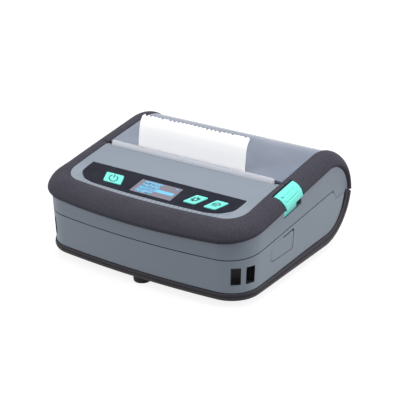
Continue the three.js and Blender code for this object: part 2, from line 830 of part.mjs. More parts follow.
// Dark base: a floor that runs up the rear end, with a turned-up trim along the side panels
const trimLap = 0.6;
const hingePinRadius = 1;
const knuckleRadius = 2.5;
const hingeY = bodyDepth / 2 - knuckleRadius;
const hingeZ = rearPartingHeight;
const hingeTrough = 3.9;
const hingeMargin = 3.2;
const webWidth = 3;
const webDrop = 7;
const hingeHalf = rimInner.halfWidth - hingeMargin;
const baseKnuckleShares = [[-1, -0.867], [-0.467, 0.467], [0.867, 1]];
const lidKnuckleShares = [[-0.833, -0.5], [0.5, 0.833]];
const baseKnuckles = baseKnuckleShares.map(([from, to]) => [hingeHalf * from, hingeHalf * to]);
const lidKnuckles = lidKnuckleShares.map(([from, to]) => [hingeHalf * from, hingeHalf * to]);
const hingeReach = hingeHalf + overrun;
const partingAngle = THREE.MathUtils.radToDeg(Math.asin((rearPartingHeight - rearZ) / rearRadius));

const trimStations = arcStations(0, arcSteps).concat(sideStations(rearY - rearRadius), frontStations());
const trim = sweep(trimStations, trimSection, true);
const floorSkin = barX(
  arcPoints(rearRadius, partingAngle, -90, arcSteps).concat(
    [[-bodyDepth, footHeight], [-bodyDepth, footHeight + floorWall]],
    arcPoints(rearRadius - floorWall, -90, partingAngle, arcSteps),
  ),
  -rimInner.halfWidth,
  rimInner.halfWidth,
);
const floorPlan = plateZ(planOutline(trimInner, -trimLap, bodyDepth), 0, bodyDepth);

function knuckle([x0, x1]) {
  return rodX(hingeY, hingeZ, knuckleRadius, x0, x1);
}

function knuckleWeb([x0, x1]) {
  const y0 = hingeY - knuckleRadius;
  const y1 = y0 + webWidth;
  return barX([[y0, hingeZ - webDrop], [y1, hingeZ - webDrop], [y1, hingeZ - knuckleRadius], [y0, hingeZ]], x0, x1);
}

// Feet, screws and the posts they go into
const footRadius = 5.5;
const footSeat = 0.8;
const footInset = { front: 6.8, side: 19.8, rear: 7.9 };
const footX = wallLow.halfWidth - footInset.side;
const feet = [
  { name: 'front_foot', x: 0, y: footInset.front - wallLow.front },
  { name: 'rear_foot_left', x: -footX, y: rearY - footInset.rear },
  { name: 'rear_foot_right', x: footX, y: rearY - footInset.rear },
];
const screwInset = { front: 26.4, side: 7.8, rear: 17.9 };
const screwX = wallLow.halfWidth - screwInset.side;
const screwRows = [
  { name: 'front', y: screwInset.front - wallLow.front },
  { name: 'rear', y: rearY - screwInset.rear },
];
const screwHead = 2.6;
const screwShank = 1.3;
const headLow = 4.6;
const headHigh = 6.3;
const shankTop = 15;
const baseBossRadius = 4.2;
const baseBossTop = 9;
const caseBossRadius = 3.5;
const caseBossTop = 18;
const caseBossWeb = 13;
const caseBossLap = 1.5;
const caseBossReach = wallLow.halfWidth - caseBossLap;
const screwSpots = screwRows.flatMap(({ name, y }) => [
  { name: `base_screw_${name}_left`, x: -screwX, y },
  { name: `base_screw_${name}_right`, x: screwX, y },
]);

// Battery under a door in the floor
const doorInset = { front: 12.9, side: 33.8, rear: 3.5 };
const doorHalfWidth = wallLow.halfWidth - doorInset.side;
const doorFront = doorInset.front - wallLow.front;
const doorBack = partingY - doorInset.rear;
const doorTab = 9;
const doorTabDepth = 2.2;
const batteryMargin = 2;
const batteryHalfWidth = doorHalfWidth - batteryMargin;
const batteryHeight = 18.5;
const batteryRadius = 4;

function doorPlate(inset, z0, z1) {
  const front = doorFront + inset;
  const back = doorBack - inset;
  const half = doorHalfWidth - inset;
  const tab = doorTab - inset;
  return plateZ([
    [-half, front], [half, front], [half, back], [tab, back],
    [tab, back + doorTabDepth], [-tab, back + doorTabDepth], [-tab, back], [-half, back],
  ], z0, z1);
}

// Main board on two posts, at the height of the ports
const boardInset = 3.3;
const boardWidth = 22.5;
const boardBehind = 2.5;
const boardFromFront = 27.4;
const boardX1 = wallLow.halfWidth - boardInset;
const boardX0 = boardX1 - boardWidth;
const boardY1 = partingY + boardBehind;
const boardY0 = boardFromFront - wallLow.front;
const boardDrop = 0.1;
const boardLow = flapLow - boardDrop;
const postRadius = 2;
const postInset = 4;
const postX = boardX0 + postInset;
const postYs = [boardY0 + postInset, boardY1 - postInset];
const postSides = 8;

// Pinion between the racks of the two roll guides
const paperWidth = 78;
const paperMiddle = -1.35;
const rackModule = 0.8;
const pinionTeeth = 10;
const pinionPostRadius = 1.2;
const pinionPostTop = 11;

const posts = postYs.map((y) => rodZ(postX, y, postRadius, footHeight + floorWall / 2, boardLow - gap, postSides));
posts.push(rodZ(paperMiddle, rollY, pinionPostRadius, footHeight + floorWall / 2, pinionPostTop));
const baseBosses = screwSpots.map(({ x, y }) => rodZ(x, y, baseBossRadius, footHeight, baseBossTop));
const screwHoles = screwSpots.flatMap(({ x, y }) => [
  rodZ(x, y, screwHead + gap, footHeight - overrun, headHigh + gap),
  rodZ(x, y, screwShank + gap, footHeight, shankTop + gap),
]);
const footSeats = feet.map(({ x, y }) => rodZ(x, y, footRadius + gap, footHeight - overrun, footHeight + footSeat));
const hingeBore = rodX(hingeY, hingeZ, hingePinRadius + gap, -hingeReach, hingeReach);
const trough = rodX(hingeY, hingeZ, hingeTrough, -bodyDepth, bodyDepth);
const baseBody = cutFrom(joined(trim, floorSkin.intersect(floorPlan)), trough);
const baseShell = cutFrom(
  joined(baseBody, ...baseKnuckles.map(knuckle), ...baseKnuckles.map(knuckleWeb), ...baseBosses, ...posts),
  hingeBore,
  doorPlate(0, footHeight - overrun, floorTop + overrun),
  ...screwHoles,
  ...footSeats,
);
piece('base_shell', baseShell, materials.innerBlack);

// Lower case, with the bosses that the base is screwed to
function caseBoss({ x, y }) {
  const round = rodZ(x, y, caseBossRadius, baseBossTop + gap, caseBossTop);
  const web = box(
    Math.min(x, Math.sign(x) * caseBossReach), Math.max(x, Math.sign(x) * caseBossReach),
    y - postRadius, y + postRadius, caseBossWeb, caseBossTop,
  );
  return round.add(web);
}

const flapHole = barX(flapOutline(0), wallLow.halfWidth - caseWall * 2, bodyDepth);
const lowerWalls = cutFrom(fullWall.intersect(belowSeam), ...bothSides(strapCuts()), flapHole);
const lowerCase = cutFrom(joined(lowerWalls, ...screwSpots.map(caseBoss)), ...screwHoles);
piece('lower_case', lowerCase, materials.caseGrey);

for (const { name, x, y } of feet) {
  piece(name, rodZ(x, y, footRadius, 0, footHeight + footSeat - gap), materials.rubber);
}
for (const { name, x, y } of screwSpots) {
  const shank = rodZ(x, y, screwShank, headHigh - gap, shankTop, postSides);
  piece(name, rodZ(x, y, screwHead, headLow, headHigh).add(shank), materials.steel);
}

piece('battery_door', doorPlate(gap, footHeight, floorTop), materials.innerBlack);

function batteryOutline(y0, y1) {
  const z0 = floorTop + gap;
  const z1 = z0 + batteryHeight;
  const r = batteryRadius;
  return [
    [y0 + r, z0], [y1 - r, z0], [y1, z0 + r], [y1, z1 - r],
    [y1 - r, z1], [y0 + r, z1], [y0, z1 - r], [y0, z0 + r],
  ];
}

const batteryInset = 1.2;
const battery = barX(
  batteryOutline(doorFront + batteryInset, doorBack - batteryInset),
  -batteryHalfWidth,
  batteryHalfWidth,
);
piece('battery_pack', battery, materials.flapGrey);

// Pockets behind the strap holes, each a cup that opens outwards
const strapPocketDeep = 7;
const strapPocketInner = cornerInnerRadius - strapPocketDeep;
const strapPocketFrom = 7;
const strapPocketTo = 66;
const strapPocketSteps = 5;

function ringSector(innerRadius, outerRadius, fromAngle, toAngle, z0, z1) {
  const outer = [];
  const inner = [];
  for (let i = 0; i <= strapPocketSteps; i++) {
    const angle = -THREE.MathUtils.degToRad(fromAngle + (toAngle - fromAngle) * (i / strapPocketSteps));
    const way = [Math.cos(angle), Math.sin(angle)];
    outer.push([cornerMid.x + outerRadius * way[0], cornerMid.y + outerRadius * way[1]]);
    inner.push([cornerMid.x + innerRadius * way[0], cornerMid.y + innerRadius * way[1]]);
  }
  return plateZ(outer.reverse().concat(inner), z0, z1);
}

const wallTurn = THREE.MathUtils.radToDeg(pocketWall / strapPocketInner);
const strapCup = cutFrom(
  ringSector(
    strapPocketInner, cornerInnerRadius - gap, strapPocketFrom, strapPocketTo,
    strapHoleLow - pocketWall, strapHoleHigh + pocketWall,
  ),
  ringSector(
    strapPocketInner + pocketWall, cornerInnerRadius + overrun,
    strapPocketFrom + wallTurn, strapPocketTo - wallTurn,
    strapHoleLow, strapHoleHigh,
  ),
);
piece('strap_pocket_right', strapCup, materials.innerBlack);
piece('strap_pocket_left', mirrorX(strapCup), materials.innerBlack);

// Lid: two rim arms joined by a bar at the rear and a bar under the window's front edge
const lidArcAngle = 90 + THREE.MathUtils.radToDeg(Math.atan(topSlope));
const stationAngle = (lidArcAngle - partingAngle) / arcSteps;
const rearBarSteps = 2;
const rearBarAngle = partingAngle + rearBarSteps * stationAngle;
const platenDrop = 8.938;
const platenZ = topHeight(platenY) - platenDrop;
const frontBarSetback = 5.5;
const frontBarWidth = 5.5;
const frontBarRise = 2.2;
const frontBarY0 = platenY + frontBarSetback;
const frontBarY1 = frontBarY0 + frontBarWidth;
const frontBarLow = platenZ + frontBarRise;
const barLap = 0.6;
const cheekMargin = 8;
const cheekX = rimInner.halfWidth - cheekMargin;
const cheekWall = 1.8;
const cheekRadius = 3.5;
const cheekReach = 3.4;
const cheekLow = platenZ - cheekReach;
const cheekHigh = platenZ + cheekReach;
const bushRadius = 2.6;
const shaftRadius = 1.5;

function topLine(y, inset) {
  return rearZ + topSlope * (y - rearY) + (rearRadius - inset) * Math.hypot(1, topSlope);
}

const armStations = arcStations(0, arcSteps).concat(sideStations(partingY + gap / 2));
const rightArm = sweep(armStations, armSection, false);
const rearBar = barX(
  arcPoints(rearRadius, partingAngle, rearBarAngle, rearBarSteps).concat(
    arcPoints(rearRadius - rimWall, rearBarAngle, partingAngle, rearBarSteps),
  ),
  -rimInner.halfWidth - barLap,
  rimInner.halfWidth + barLap,
);
const frontBarInset = windowWall + gap;
const frontBar = barX(
  [
    [frontBarY0, frontBarLow], [frontBarY1, frontBarLow],
    [frontBarY1, topLine(frontBarY1, frontBarInset)], [frontBarY0, topLine(frontBarY0, frontBarInset)],
  ],
  -rimInner.halfWidth + barLap,
  rimInner.halfWidth - barLap,
);
const cheek = joined(
  rodX(platenY, platenZ, cheekRadius, cheekX, cheekX + cheekWall),
  barX(
    [
      [platenY, cheekLow], [frontBarY1 - barLap, frontBarLow - barLap],
      [frontBarY1 - barLap, cheekHigh], [platenY, cheekHigh],
    ],
    cheekX,
    cheekX + cheekWall,
  ),
);
const bushHole = rodX(platenY, platenZ, bushRadius + gap, -bodyDepth, bodyDepth);
const cheeks = cutFrom(cheek.add(mirrorX(cheek)), bushHole);
const lidReliefs = baseKnuckles.map(([x0, x1]) => rodX(hingeY, hingeZ, knuckleRadius + gap, x0 - gap, x1 + gap));
const belowLid = box(-bodyDepth, bodyDepth, rearY, bodyDepth, 0, rearPartingHeight + gap);
const lidArms = joined(rightArm, mirrorX(rightArm), rearBar, frontBar);
const lidFrame = cutFrom(
  joined(cutFrom(lidArms, latchPocket(gap, overrun), belowLid, ...lidReliefs), cheeks, ...lidKnuckles.map(knuckle)),
  hingeBore,
);
piece('lid_frame', lidFrame, materials.rimDark);
piece('hinge_pin', rodX(hingeY, hingeZ, hingePinRadius, -hingeReach + gap, hingeReach - gap), materials.steel);

const windowSetback = 2.9;
const windowFront = partingY + windowSetback;
const gapTurn = THREE.MathUtils.radToDeg(gap / rearRadius);
const windowStart = rearBarAngle + gapTurn;
const windowSteps = arcSteps - rearBarSteps;
const lidWindow = barX(
  arcPoints(rearRadius, windowStart, lidArcAngle, windowSteps).concat(
    [[windowFront, topLine(windowFront, 0)], [windowFront, topLine(windowFront, windowWall)]],
    arcPoints(rearRadius - windowWall, lidArcAngle, windowStart, windowSteps),
  ),
  -rimInner.halfWidth + gap,
  rimInner.halfWidth - gap,
);
piece('lid_window', lidWindow, materials.smoky);

// Release latch on the right: a cap over the rim that swings out about a pin along the rim
const latchNose = 2.8;
const latchPin = { across: 5, down: 2.6 };
const latchPinRadius = 0.8;
const latchOuter = [[7.3, -0.4], [9.4, 0.9], [10.8, 2.9], [12.1, 5.6], [12.6, 7.8], [12.2, 9.3]];
const latchInner = [
  [10.4, 9.3], [10, 6], [8.2, 5.2], [7.8, 13.2], [6.2, 13.2], [5.8, 5.4], [3.9, 5.1], [2.6, 4.1],
];
const latchSteps = 4;
const earRadius = 1.5;
const earWall = 2;
const earLegWidth = 1.7;
const earFootDown = 14.2;
const earFootAcross = 7;
const latchShell = 8.6;
const coilRadius = 1.7;
const coilMargin = 5;
const slotDown = 20;
const coilSlot = 4;
const latchMidY = (latchFront + latchBack) / 2;
const latchY0 = latchFront + gap;
const pinX = rimInner.halfWidth + latchPin.across;
const pinZ = topHeight(latchMidY) - latchPin.down;

function barY(points, y0, y1) {
  const shape = new THREE.Shape(points.map(([x, z]) => new THREE.Vector2(x, z)));
  const geometry = new THREE.ExtrudeGeometry(shape, { depth: y1 - y0, bevelEnabled: false });
  geometry.rotateX(Math.PI / 2);
  geometry.translate(0, y1, 0);
  return solidOf(geometry);
}

// Turns a place given across and down from the rim's inner edge into X and Z
function inRim([across, down]) {
  return [rimInner.halfWidth + across, topHeight(latchMidY) - down];
}

function rimBlock(across0, across1, down0, down1, y0, y1) {
  return barY([[across0, down0], [across1, down0], [across1, down1], [across0, down1]].map(inRim), y0, y1);
}

// Slants a solid so that it follows the slope of the rim
function slanted(solid) {
  const geometry = geometryOf(solid);
  const slant = new THREE.Matrix4().set(
    1, 0, 0, 0,
    0, 1, 0, 0,
    0, topSlope, 1, -topSlope * latchMidY,
    0, 0, 0, 1,
  );
  geometry.applyMatrix4(slant);
  return solidOf(geometry);
}

const nose = [];
for (let i = 0; i <= latchSteps; i++) {
  const angle = Math.PI - (Math.PI / 2) * (i / latchSteps);
  nose.push([latchPin.across + latchNose * Math.cos(angle), latchPin.down - latchNose * Math.sin(angle)]);
}
const earSpan = earWall + gap;
const earSlots = [
  [latchFront - overrun, latchY0 + gap + earSpan],
  [latchBack - gap - earSpan, latchBack + overrun],
];
const earClear = earRadius + gap;
const slotCuts = earSlots.flatMap(([y0, y1]) => [
  rodY(pinX, pinZ, earClear, y0, y1),
  rimBlock(-overrun, latchShell, latchPin.down - earClear, slotDown, y0, y1),
]);
const coilY0 = latchMidY - coilSlot / 2;
const coilY1 = latchMidY + coilSlot / 2;
const coilCut = joined(
  rodY(pinX, pinZ, coilRadius + gap, coilY0 - gap, coilY1 + gap),
  rimBlock(
    latchPin.across - coilRadius - gap, latchPin.across + coilRadius + gap,
    latchPin.down, latchPin.down + coilMargin,
    coilY0 - gap, coilY1 + gap,
  ),
);
const latch = slanted(cutFrom(
  barY(nose.concat(latchOuter, latchInner).map(inRim), latchY0, latchBack),
  ...slotCuts,
  coilCut,
  rodY(pinX, pinZ, latchPinRadius + gap, latchFront - overrun, latchBack + overrun),
));
piece('latch', latch, materials.teal);

const ears = [[latchY0 + gap, latchY0 + gap + earWall], [latchBack - gap - earWall, latchBack - gap]];
const bracketFoot = rimBlock(
  latchPin.across - earLegWidth / 2, earFootAcross, earFootDown, earFootDown + earWall, ears[0][0], ears[1][1],
);
const bracket = ears.reduce((whole, [y0, y1]) => joined(
  whole,
  rodY(pinX, pinZ, earRadius, y0, y1),
  rimBlock(
    latchPin.across - earLegWidth / 2, latchPin.across + earLegWidth / 2,
    latchPin.down, earFootDown + earWall, y0, y1,
  ),
), bracketFoot);
const earBore = rodY(pinX, pinZ, latchPinRadius + gap, latchFront, latchBack);
piece('latch_bracket', slanted(cutFrom(bracket, earBore)), materials.innerBlack);
piece('latch_pin', slanted(rodY(pinX, pinZ, latchPinRadius, ears[0][0], ears[1][1])), materials.steel);

const coil = cutFrom(
  rodY(pinX, pinZ, coilRadius, coilY0, coilY1),
  rodY(pinX, pinZ, latchPinRadius + gap, coilY0 - overrun, coilY1 + overrun),
);
piece('latch_spring', slanted(coil), materials.steel);

// Rubber flap over the ports, as thick as the outer part of the wall
function moved(solid, x, y, z) {
  const geometry = geometryOf(solid);
  geometry.translate(x, y, z);
  return solidOf(geometry);
}

const flapBlock = barX(flapOutline(gap), wallLow.halfWidth - caseWall * 2, bodyDepth);
const flap = cutFrom(fullWall.intersect(flapBlock), moved(fullWall, -flapWall, 0, 0));
piece('port_flap', flap, materials.flapGrey);

// Boards and sockets behind the flap
piece('main_board', box(boardX0, boardX1, boardY0, boardY1, boardLow, boardLow + boardWall), materials.board);

const socketInset = 2;
const socketX = wallLow.halfWidth - socketInset;
const socketLow = boardLow + boardWall + gap;
const usb = { depth: 8.3, ahead: 17.5, width: 9, height: 3.3, wall: 0.6, tongue: 0.6, tongueWidth: 6.4 };
const dc = { depth: 11.3, ahead: 7, width: 8, height: 9, bore: 3, pin: 1, back: 2 };
const usbY = boardY1 - usb.ahead;
const dcY = boardY1 - dc.ahead;

const usbBody = box(
  socketX - usb.depth, socketX, usbY - usb.width / 2, usbY + usb.width / 2, socketLow, socketLow + usb.height,
);
const usbMouth = box(
  socketX - usb.depth + usb.wall * 2, socketX + overrun,
  usbY - usb.width / 2 + usb.wall, usbY + usb.width / 2 - usb.wall,
  socketLow + usb.wall, socketLow + usb.height - usb.wall,
);
const usbTongue = box(
  socketX - usb.depth + usb.wall, socketX - usb.wall,
  usbY - usb.tongueWidth / 2, usbY + usb.tongueWidth / 2,
  socketLow + (usb.height - usb.tongue) / 2, socketLow + (usb.height + usb.tongue) / 2,
);
piece('usb_socket', joined(cutFrom(usbBody, usbMouth), usbTongue), materials.steel);

const dcZ = socketLow + dc.height / 2;
const dcBody = box(
  socketX - dc.depth, socketX, dcY - dc.width / 2, dcY + dc.width / 2, socketLow, socketLow + dc.height,
);
const dcBore = rodX(dcY, dcZ, dc.bore, socketX - dc.depth + dc.back, socketX + overrun);
const dcPin = rodX(dcY, dcZ, dc.pin, socketX - dc.depth + dc.back / 2, socketX - dc.pin, postSides);
piece('dc_socket', joined(cutFrom(dcBody, dcBore), dcPin), materials.innerBlack);

// Gears

// Outline of a gear: teeth as shares of the pitch, the first one centred on the phase angle
const toothShares = { pitch: 0.36, lean: 0.37, addendum: 0.8, dedendum: 1, middle: 0.5 };

function gearOutline(teeth, module, y, z, phase) {
  const pitchRadius = teeth * module / 2;
  const outer = pitchRadius + toothShares.addendum * module;
  const root = pitchRadius - toothShares.dedendum * module;
  const pitch = 2 * Math.PI / teeth;
  const half = (pitch * toothShares.pitch) / 2;
  const lean = toothShares.lean * module / pitchRadius;
  const points = [];
  for (let i = 0; i < teeth; i++) {
    const middle = phase + i * pitch;
    const places = [[root, -half - lean], [outer, -half + lean], [outer, half - lean], [root, half + lean]];
    for (const [radius, turn] of places) {
      points.push([y + radius * Math.cos(middle + turn), z + radius * Math.sin(middle + turn)]);
    }
  }
  return points;
}

// Phase of a gear that meshes with another one, from their centres, teeth and the other's phase
function meshedPhase(from, teeth, y, z) {
  const way = Math.atan2(z - from.z, y - from.y);
  const share = (way - from.phase) / (2 * Math.PI / from.teeth);
  const offset = share - Math.floor(share);
  return way + Math.PI + (offset - toothShares.middle) * (2 * Math.PI / teeth);
}

// Gear train on the left: platen, idler and motor pinion
const gearModule = 0.6;
const gearWidth = 2.3;
const chassisX = cheekX + cheekWall + gap;
const chassisWall = 1.3;
const gearX1 = -chassisX - chassisWall - gap;
const gearX0 = gearX1 - gearWidth;
const idlerAhead = 1.4;
const motorAhead = 4;
const idlerY = platenY - idlerAhead;
const motorY = idlerY - motorAhead;
const platenTeeth = 18;
const idlerTeeth = 22;
const motorTeeth = 12;
const idlerReach = gearModule * (platenTeeth + idlerTeeth) / 2;
const motorReach = gearModule * (idlerTeeth + motorTeeth) / 2;
const idlerZ = platenZ - Math.sqrt(idlerReach ** 2 - (platenY - idlerY) ** 2);
const motorZ = idlerZ - Math.sqrt(motorReach ** 2 - (idlerY - motorY) ** 2);
const platenMesh = { y: platenY, z: platenZ, teeth: platenTeeth, phase: 0 };
const idlerPhase = meshedPhase(platenMesh, idlerTeeth, idlerY, idlerZ);
const idlerMesh = { y: idlerY, z: idlerZ, teeth: idlerTeeth, phase: idlerPhase };
const motorPhase = meshedPhase(idlerMesh, motorTeeth, motorY, motorZ);

function trainGear({ y, z, teeth, phase }) {
  return barX(gearOutline(teeth, gearModule, y, z, phase), gearX0, gearX1);
}

// Chassis of the print mechanism
const chassisLow = floorTop + gap;
const chassisLink = 1.5;
const chassisAhead = 24.9;
const chassisBehind = 5.1;
const shoulderAhead = 17.9;
const legDrop = 14.8;
const sideDrop = 6.8;
const headDrop = 0.8;
const chassisFront = platenY - chassisAhead;
const chassisBack = platenY + chassisBehind;
const chassisStep = partingY;
const chassisShoulder = platenY - shoulderAhead;
const legTop = platenZ - legDrop;
const sideTop = platenZ - sideDrop;
const headTop = tearBottom - headDrop;
const linkFront = boardY1 + gap;
const axleRadius = 1.2;
const motorRadius = 10;
const motorLength = 16;
const motorX0 = gap - chassisX;
const motorX1 = motorX0 + motorLength;
const motorShaft = 1;
const shaftDepth = 6;

const leftPlate = barX([
  [chassisFront, chassisLow], [chassisBack, chassisLow], [chassisBack, sideTop], [chassisStep, sideTop],
  [chassisStep, headTop], [chassisShoulder, headTop], [chassisShoulder, sideTop], [chassisFront, legTop],
], -chassisX - chassisWall, -chassisX);
const rightPlate = barX([
  [linkFront, chassisLow], [chassisBack, chassisLow], [chassisBack, sideTop], [chassisStep, sideTop],
  [chassisStep, headTop], [chassisShoulder, headTop], [chassisShoulder, legTop], [linkFront, legTop],
], chassisX, chassisX + chassisWall);
const floorLink = box(
  -chassisX - chassisWall / 2, chassisX + chassisWall / 2,
  linkFront, chassisBack, chassisLow, chassisLow + chassisLink,
);
const axleHole = rodX(idlerY, idlerZ, axleRadius + gap, -bodyDepth, -chassisX + overrun);
const motorHole = rodX(motorY, motorZ, motorShaft + gap, -bodyDepth, -chassisX + overrun);
piece('chassis', cutFrom(joined(leftPlate, rightPlate, floorLink), axleHole, motorHole), materials.steel);
piece('idler_axle', rodX(idlerY, idlerZ, axleRadius, gearX0 - gap * 2, -chassisX, smallSides), materials.steel);
piece('idler_gear', cutFrom(trainGear(idlerMesh), axleHole), materials.gearWhite);

const motorBody = rodX(motorY, motorZ, motorRadius, motorX0, motorX1, fineSides);
const shaftBore = rodX(motorY, motorZ, motorShaft + gap, motorX0 - overrun, motorX0 + shaftDepth);
piece('motor', cutFrom(motorBody, shaftBore), materials.steel);

const motorMesh = { y: motorY, z: motorZ, teeth: motorTeeth, phase: motorPhase };
const rotor = joined(
  trainGear(motorMesh),
  rodX(motorY, motorZ, motorShaft, gearX1 - chassisWall, motorX0 + shaftDepth - gap, smallSides),
);
piece('motor_pinion', rotor, materials.gearWhite);

// Platen in the lid, and the print head it presses against
const platenRadius = 5;
const platenGap = 1.2;
const platenHalf = cheekX - platenGap;
const shaftX0 = gearX0 - gap;
const shaftX1 = cheekX + cheekWall;
piece('platen_roller', cutFrom(
  rodX(platenY, platenZ, platenRadius, -platenHalf, platenHalf, fineSides),
  rodX(platenY, platenZ, shaftRadius + gap, -bodyDepth, bodyDepth, smallSides),
), materials.rubber);
piece('platen_shaft', rodX(platenY, platenZ, shaftRadius, shaftX0, shaftX1, smallSides), materials.steel);
piece('platen_gear', cutFrom(
  trainGear(platenMesh),
  rodX(platenY, platenZ, shaftRadius + gap, -bodyDepth, bodyDepth, smallSides),
), materials.gearWhite);

const bush = cutFrom(
  rodX(platenY, platenZ, bushRadius, cheekX, cheekX + cheekWall),
  rodX(platenY, platenZ, shaftRadius + gap, -bodyDepth, bodyDepth, smallSides),
);
piece('platen_bush_right', bush, materials.copperTone);
piece('platen_bush_left', mirrorX(bush), materials.copperTone);

const bracketAhead = 16.9;
const bracketWall = 1.7;
const bracketDrop = 10.8;
const flangeWall = 1.5;
const flangeAhead = 7.2;
const printAhead = 10.4;
const printDepth = 4.45;
const printDrop = 9.8;
const springRadius = 2.5;
const springInset = 24;
const springDrop = 4.8;
const bracketFront = platenY - bracketAhead;
const bracketRear = bracketFront + bracketWall;
const bracketLow = platenZ - bracketDrop;
const flangeHigh = tearBottom - gap;
const flangeLow = flangeHigh - flangeWall;
const flangeRear = platenY - flangeAhead;
const printFront = platenY - printAhead;
const printRear = printFront + printDepth;
const printLow = platenZ - printDrop;
const springX = platenHalf - springInset;
const springZ = platenZ - springDrop;
const headBracket = barX([
  [bracketFront, bracketLow], [bracketRear, bracketLow], [bracketRear, flangeLow],
  [flangeRear, flangeLow], [flangeRear, flangeHigh], [bracketFront, flangeHigh],
], -chassisX + gap, chassisX - gap);
piece('head_bracket', headBracket, materials.steel);
const printHead = box(-platenHalf, platenHalf, printFront, printRear, printLow, flangeLow - gap);
piece('print_head', printHead, materials.steel);

const headSpring = cutFrom(
  rodY(springX, springZ, springRadius, bracketRear + gap, printFront - gap, smallSides),
  rodY(springX, springZ, springRadius / 2, bracketRear, printFront, smallSides),
);
piece('head_spring_right', headSpring, materials.steel);
piece('head_spring_left', mirrorX(headSpring), materials.steel);

// Paper roll on its core, and the sheet that runs from it past the head
const coreInner = 8;
const coreOuter = 9.5;
const webWall = 0.3;
const webGap = 0.5;
const webBendDrop = 3.8;
const webLineY = platenY - platenRadius - webGap;
const webBendZ = platenZ - webBendDrop;
const sheetRise = 19.2;
const sheetLean = 5.8;
const sheetShares = [[0, -0.209], [0.052, 0.078], [0.172, 0.469], [0.431, 0.781], [1, 1]];
const webUpper = sheetShares.map(([lean, rise]) => [webLineY + sheetLean * lean, tearTop + sheetRise * rise]);
const paperX0 = paperMiddle - paperWidth / 2;
const paperX1 = paperMiddle + paperWidth / 2;
const tornShares = [0, 0.9, 0.15, 1, 0.1, 0.95, 0.2, 0.8, 0, 1, 0.1, 0.85, 0.15, 1, 0.05, 0.9, 0.1, 1, 0.2, 0.7];
const tornDepth = 0.9;

piece('paper_roll', cutFrom(
  rodX(rollY, rollZ, rollRadius, paperX0, paperX1, rollSides),
  rodX(rollY, rollZ, coreOuter + gap, -bodyDepth, bodyDepth),
), materials.paper);
piece('roll_core', cutFrom(
  rodX(rollY, rollZ, coreOuter, paperX0, paperX1),
  rodX(rollY, rollZ, coreInner, -bodyDepth, bodyDepth),
), materials.cardboard);

// Point where the sheet leaves the roll, on the tangent from the bend below the head
function tangentPoint() {
  const reach = rollRadius + gap + webWall / 2;
  const away = Math.hypot(rollY - webLineY, rollZ - webBendZ);
  const turn = Math.atan2(webBendZ - rollZ, webLineY - rollY) + Math.acos(reach / away);
  return [rollY + reach * Math.cos(turn), rollZ + reach * Math.sin(turn)];
}

function webOutline() {
  const line = [tangentPoint(), [webLineY, webBendZ], ...webUpper].map(([y, z]) => new THREE.Vector2(y, z));
  const front = [];
  const back = [];
  line.forEach((point, i) => {
    const before = line[Math.max(0, i - 1)];
    const after = line[Math.min(line.length - 1, i + 1)];
    const way = after.clone().sub(before).normalize().multiplyScalar(webWall / 2);
    front.push([point.x - way.y, point.y + way.x]);
    back.push([point.x + way.y, point.y - way.x]);
  });
  return front.concat(back.reverse());
}

const webTop = webUpper[webUpper.length - 1][1];
const tornEdge = tornShares.map((share, i) => [
  paperX0 + paperWidth * (i / (tornShares.length - 1)),
  webTop - tornDepth * share - webWall,
]);
const aboveTear = [
  [paperX1 + overrun, webTop - tornDepth],
  [paperX1 + overrun, bodyDepth],
  [paperX0 - overrun, bodyDepth],
  [paperX0 - overrun, webTop - tornDepth],
];
const tornAway = barY(tornEdge.concat(aboveTear), -bodyDepth, bodyDepth);
piece('paper_web', cutFrom(barX(webOutline(), paperX0, paperX1), tornAway), materials.paper);

// Roll guides: discs on racks that a pinion keeps centred
const guideWall = 2;
const guideMargin = 6;
const guideRadius = rollRadius - guideMargin;
const guideClear = 0.35;
const hubRadius = 7.4;
const hubLength = 6;
const rackBack = 3;
const rackReach = 18;
const armLap = 2;
const armTop = rollZ - guideRadius + armLap;
const armWidth = 10;
const pinionRadius = rackModule * pinionTeeth / 2;
const rackPitch = Math.PI * rackModule;
const rackTeeth = 9;
const rackLead = 1.5;

// A toothed bar along X in front of the pinion; its gap faces the pinion's first tooth
function rack(x1) {
  const pitchY = rollY - pinionRadius;
  const root = pitchY - toothShares.dedendum * rackModule;
  const tip = pitchY + toothShares.addendum * rackModule;
  const half = rackPitch * toothShares.pitch / 2;
  const lean = toothShares.lean * rackModule;
  const x0 = paperMiddle - rackReach;
  const points = [[x0, root - rackBack], [x1, root - rackBack], [x1, root]];
  for (let i = 0; i < rackTeeth; i++) {
    const middle = paperMiddle + rackPitch * (rackLead - i);
    points.push([middle + half + lean, root], [middle + half - lean, tip]);
    points.push([middle - half + lean, tip], [middle - half - lean, root]);
  }
  points.push([x0, root]);
  return plateZ(points, rackLow, rackHigh);
}

// Turns a solid half a turn about the upright axis of the pinion
function turnedRound(solid) {
  const geometry = geometryOf(solid);
  geometry.translate(-paperMiddle, -rollY, 0);
  geometry.rotateZ(Math.PI);
  geometry.translate(paperMiddle, rollY, 0);
  return solidOf(geometry);
}

const guideX = paperX1 + guideClear;
const rackRootY = rollY - pinionRadius - toothShares.dedendum * rackModule;
const guideRight = joined(
  rodX(rollY, rollZ, guideRadius, guideX, guideX + guideWall, fineSides),
  rodX(rollY, rollZ, hubRadius, guideX - hubLength, guideX + guideWall / 2, smallSides),
  box(guideX, guideX + guideWall, rackRootY - rackBack, rackRootY - rackBack + armWidth, rackLow, armTop),
  rack(guideX + guideWall / 2),
);
piece('guide_right', guideRight, materials.innerBlack);
piece('guide_left', turnedRound(guideRight), materials.innerBlack);

const guidePinion = cutFrom(
  plateZ(gearOutline(pinionTeeth, rackModule, paperMiddle, rollY, -Math.PI / 2), rackLow, rackHigh),
  rodZ(paperMiddle, rollY, pinionPostRadius + gap, 0, rackHigh + overrun, smallSides),
);
piece('guide_pinion', guidePinion, materials.gearWhite);

export default group;
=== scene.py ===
import math

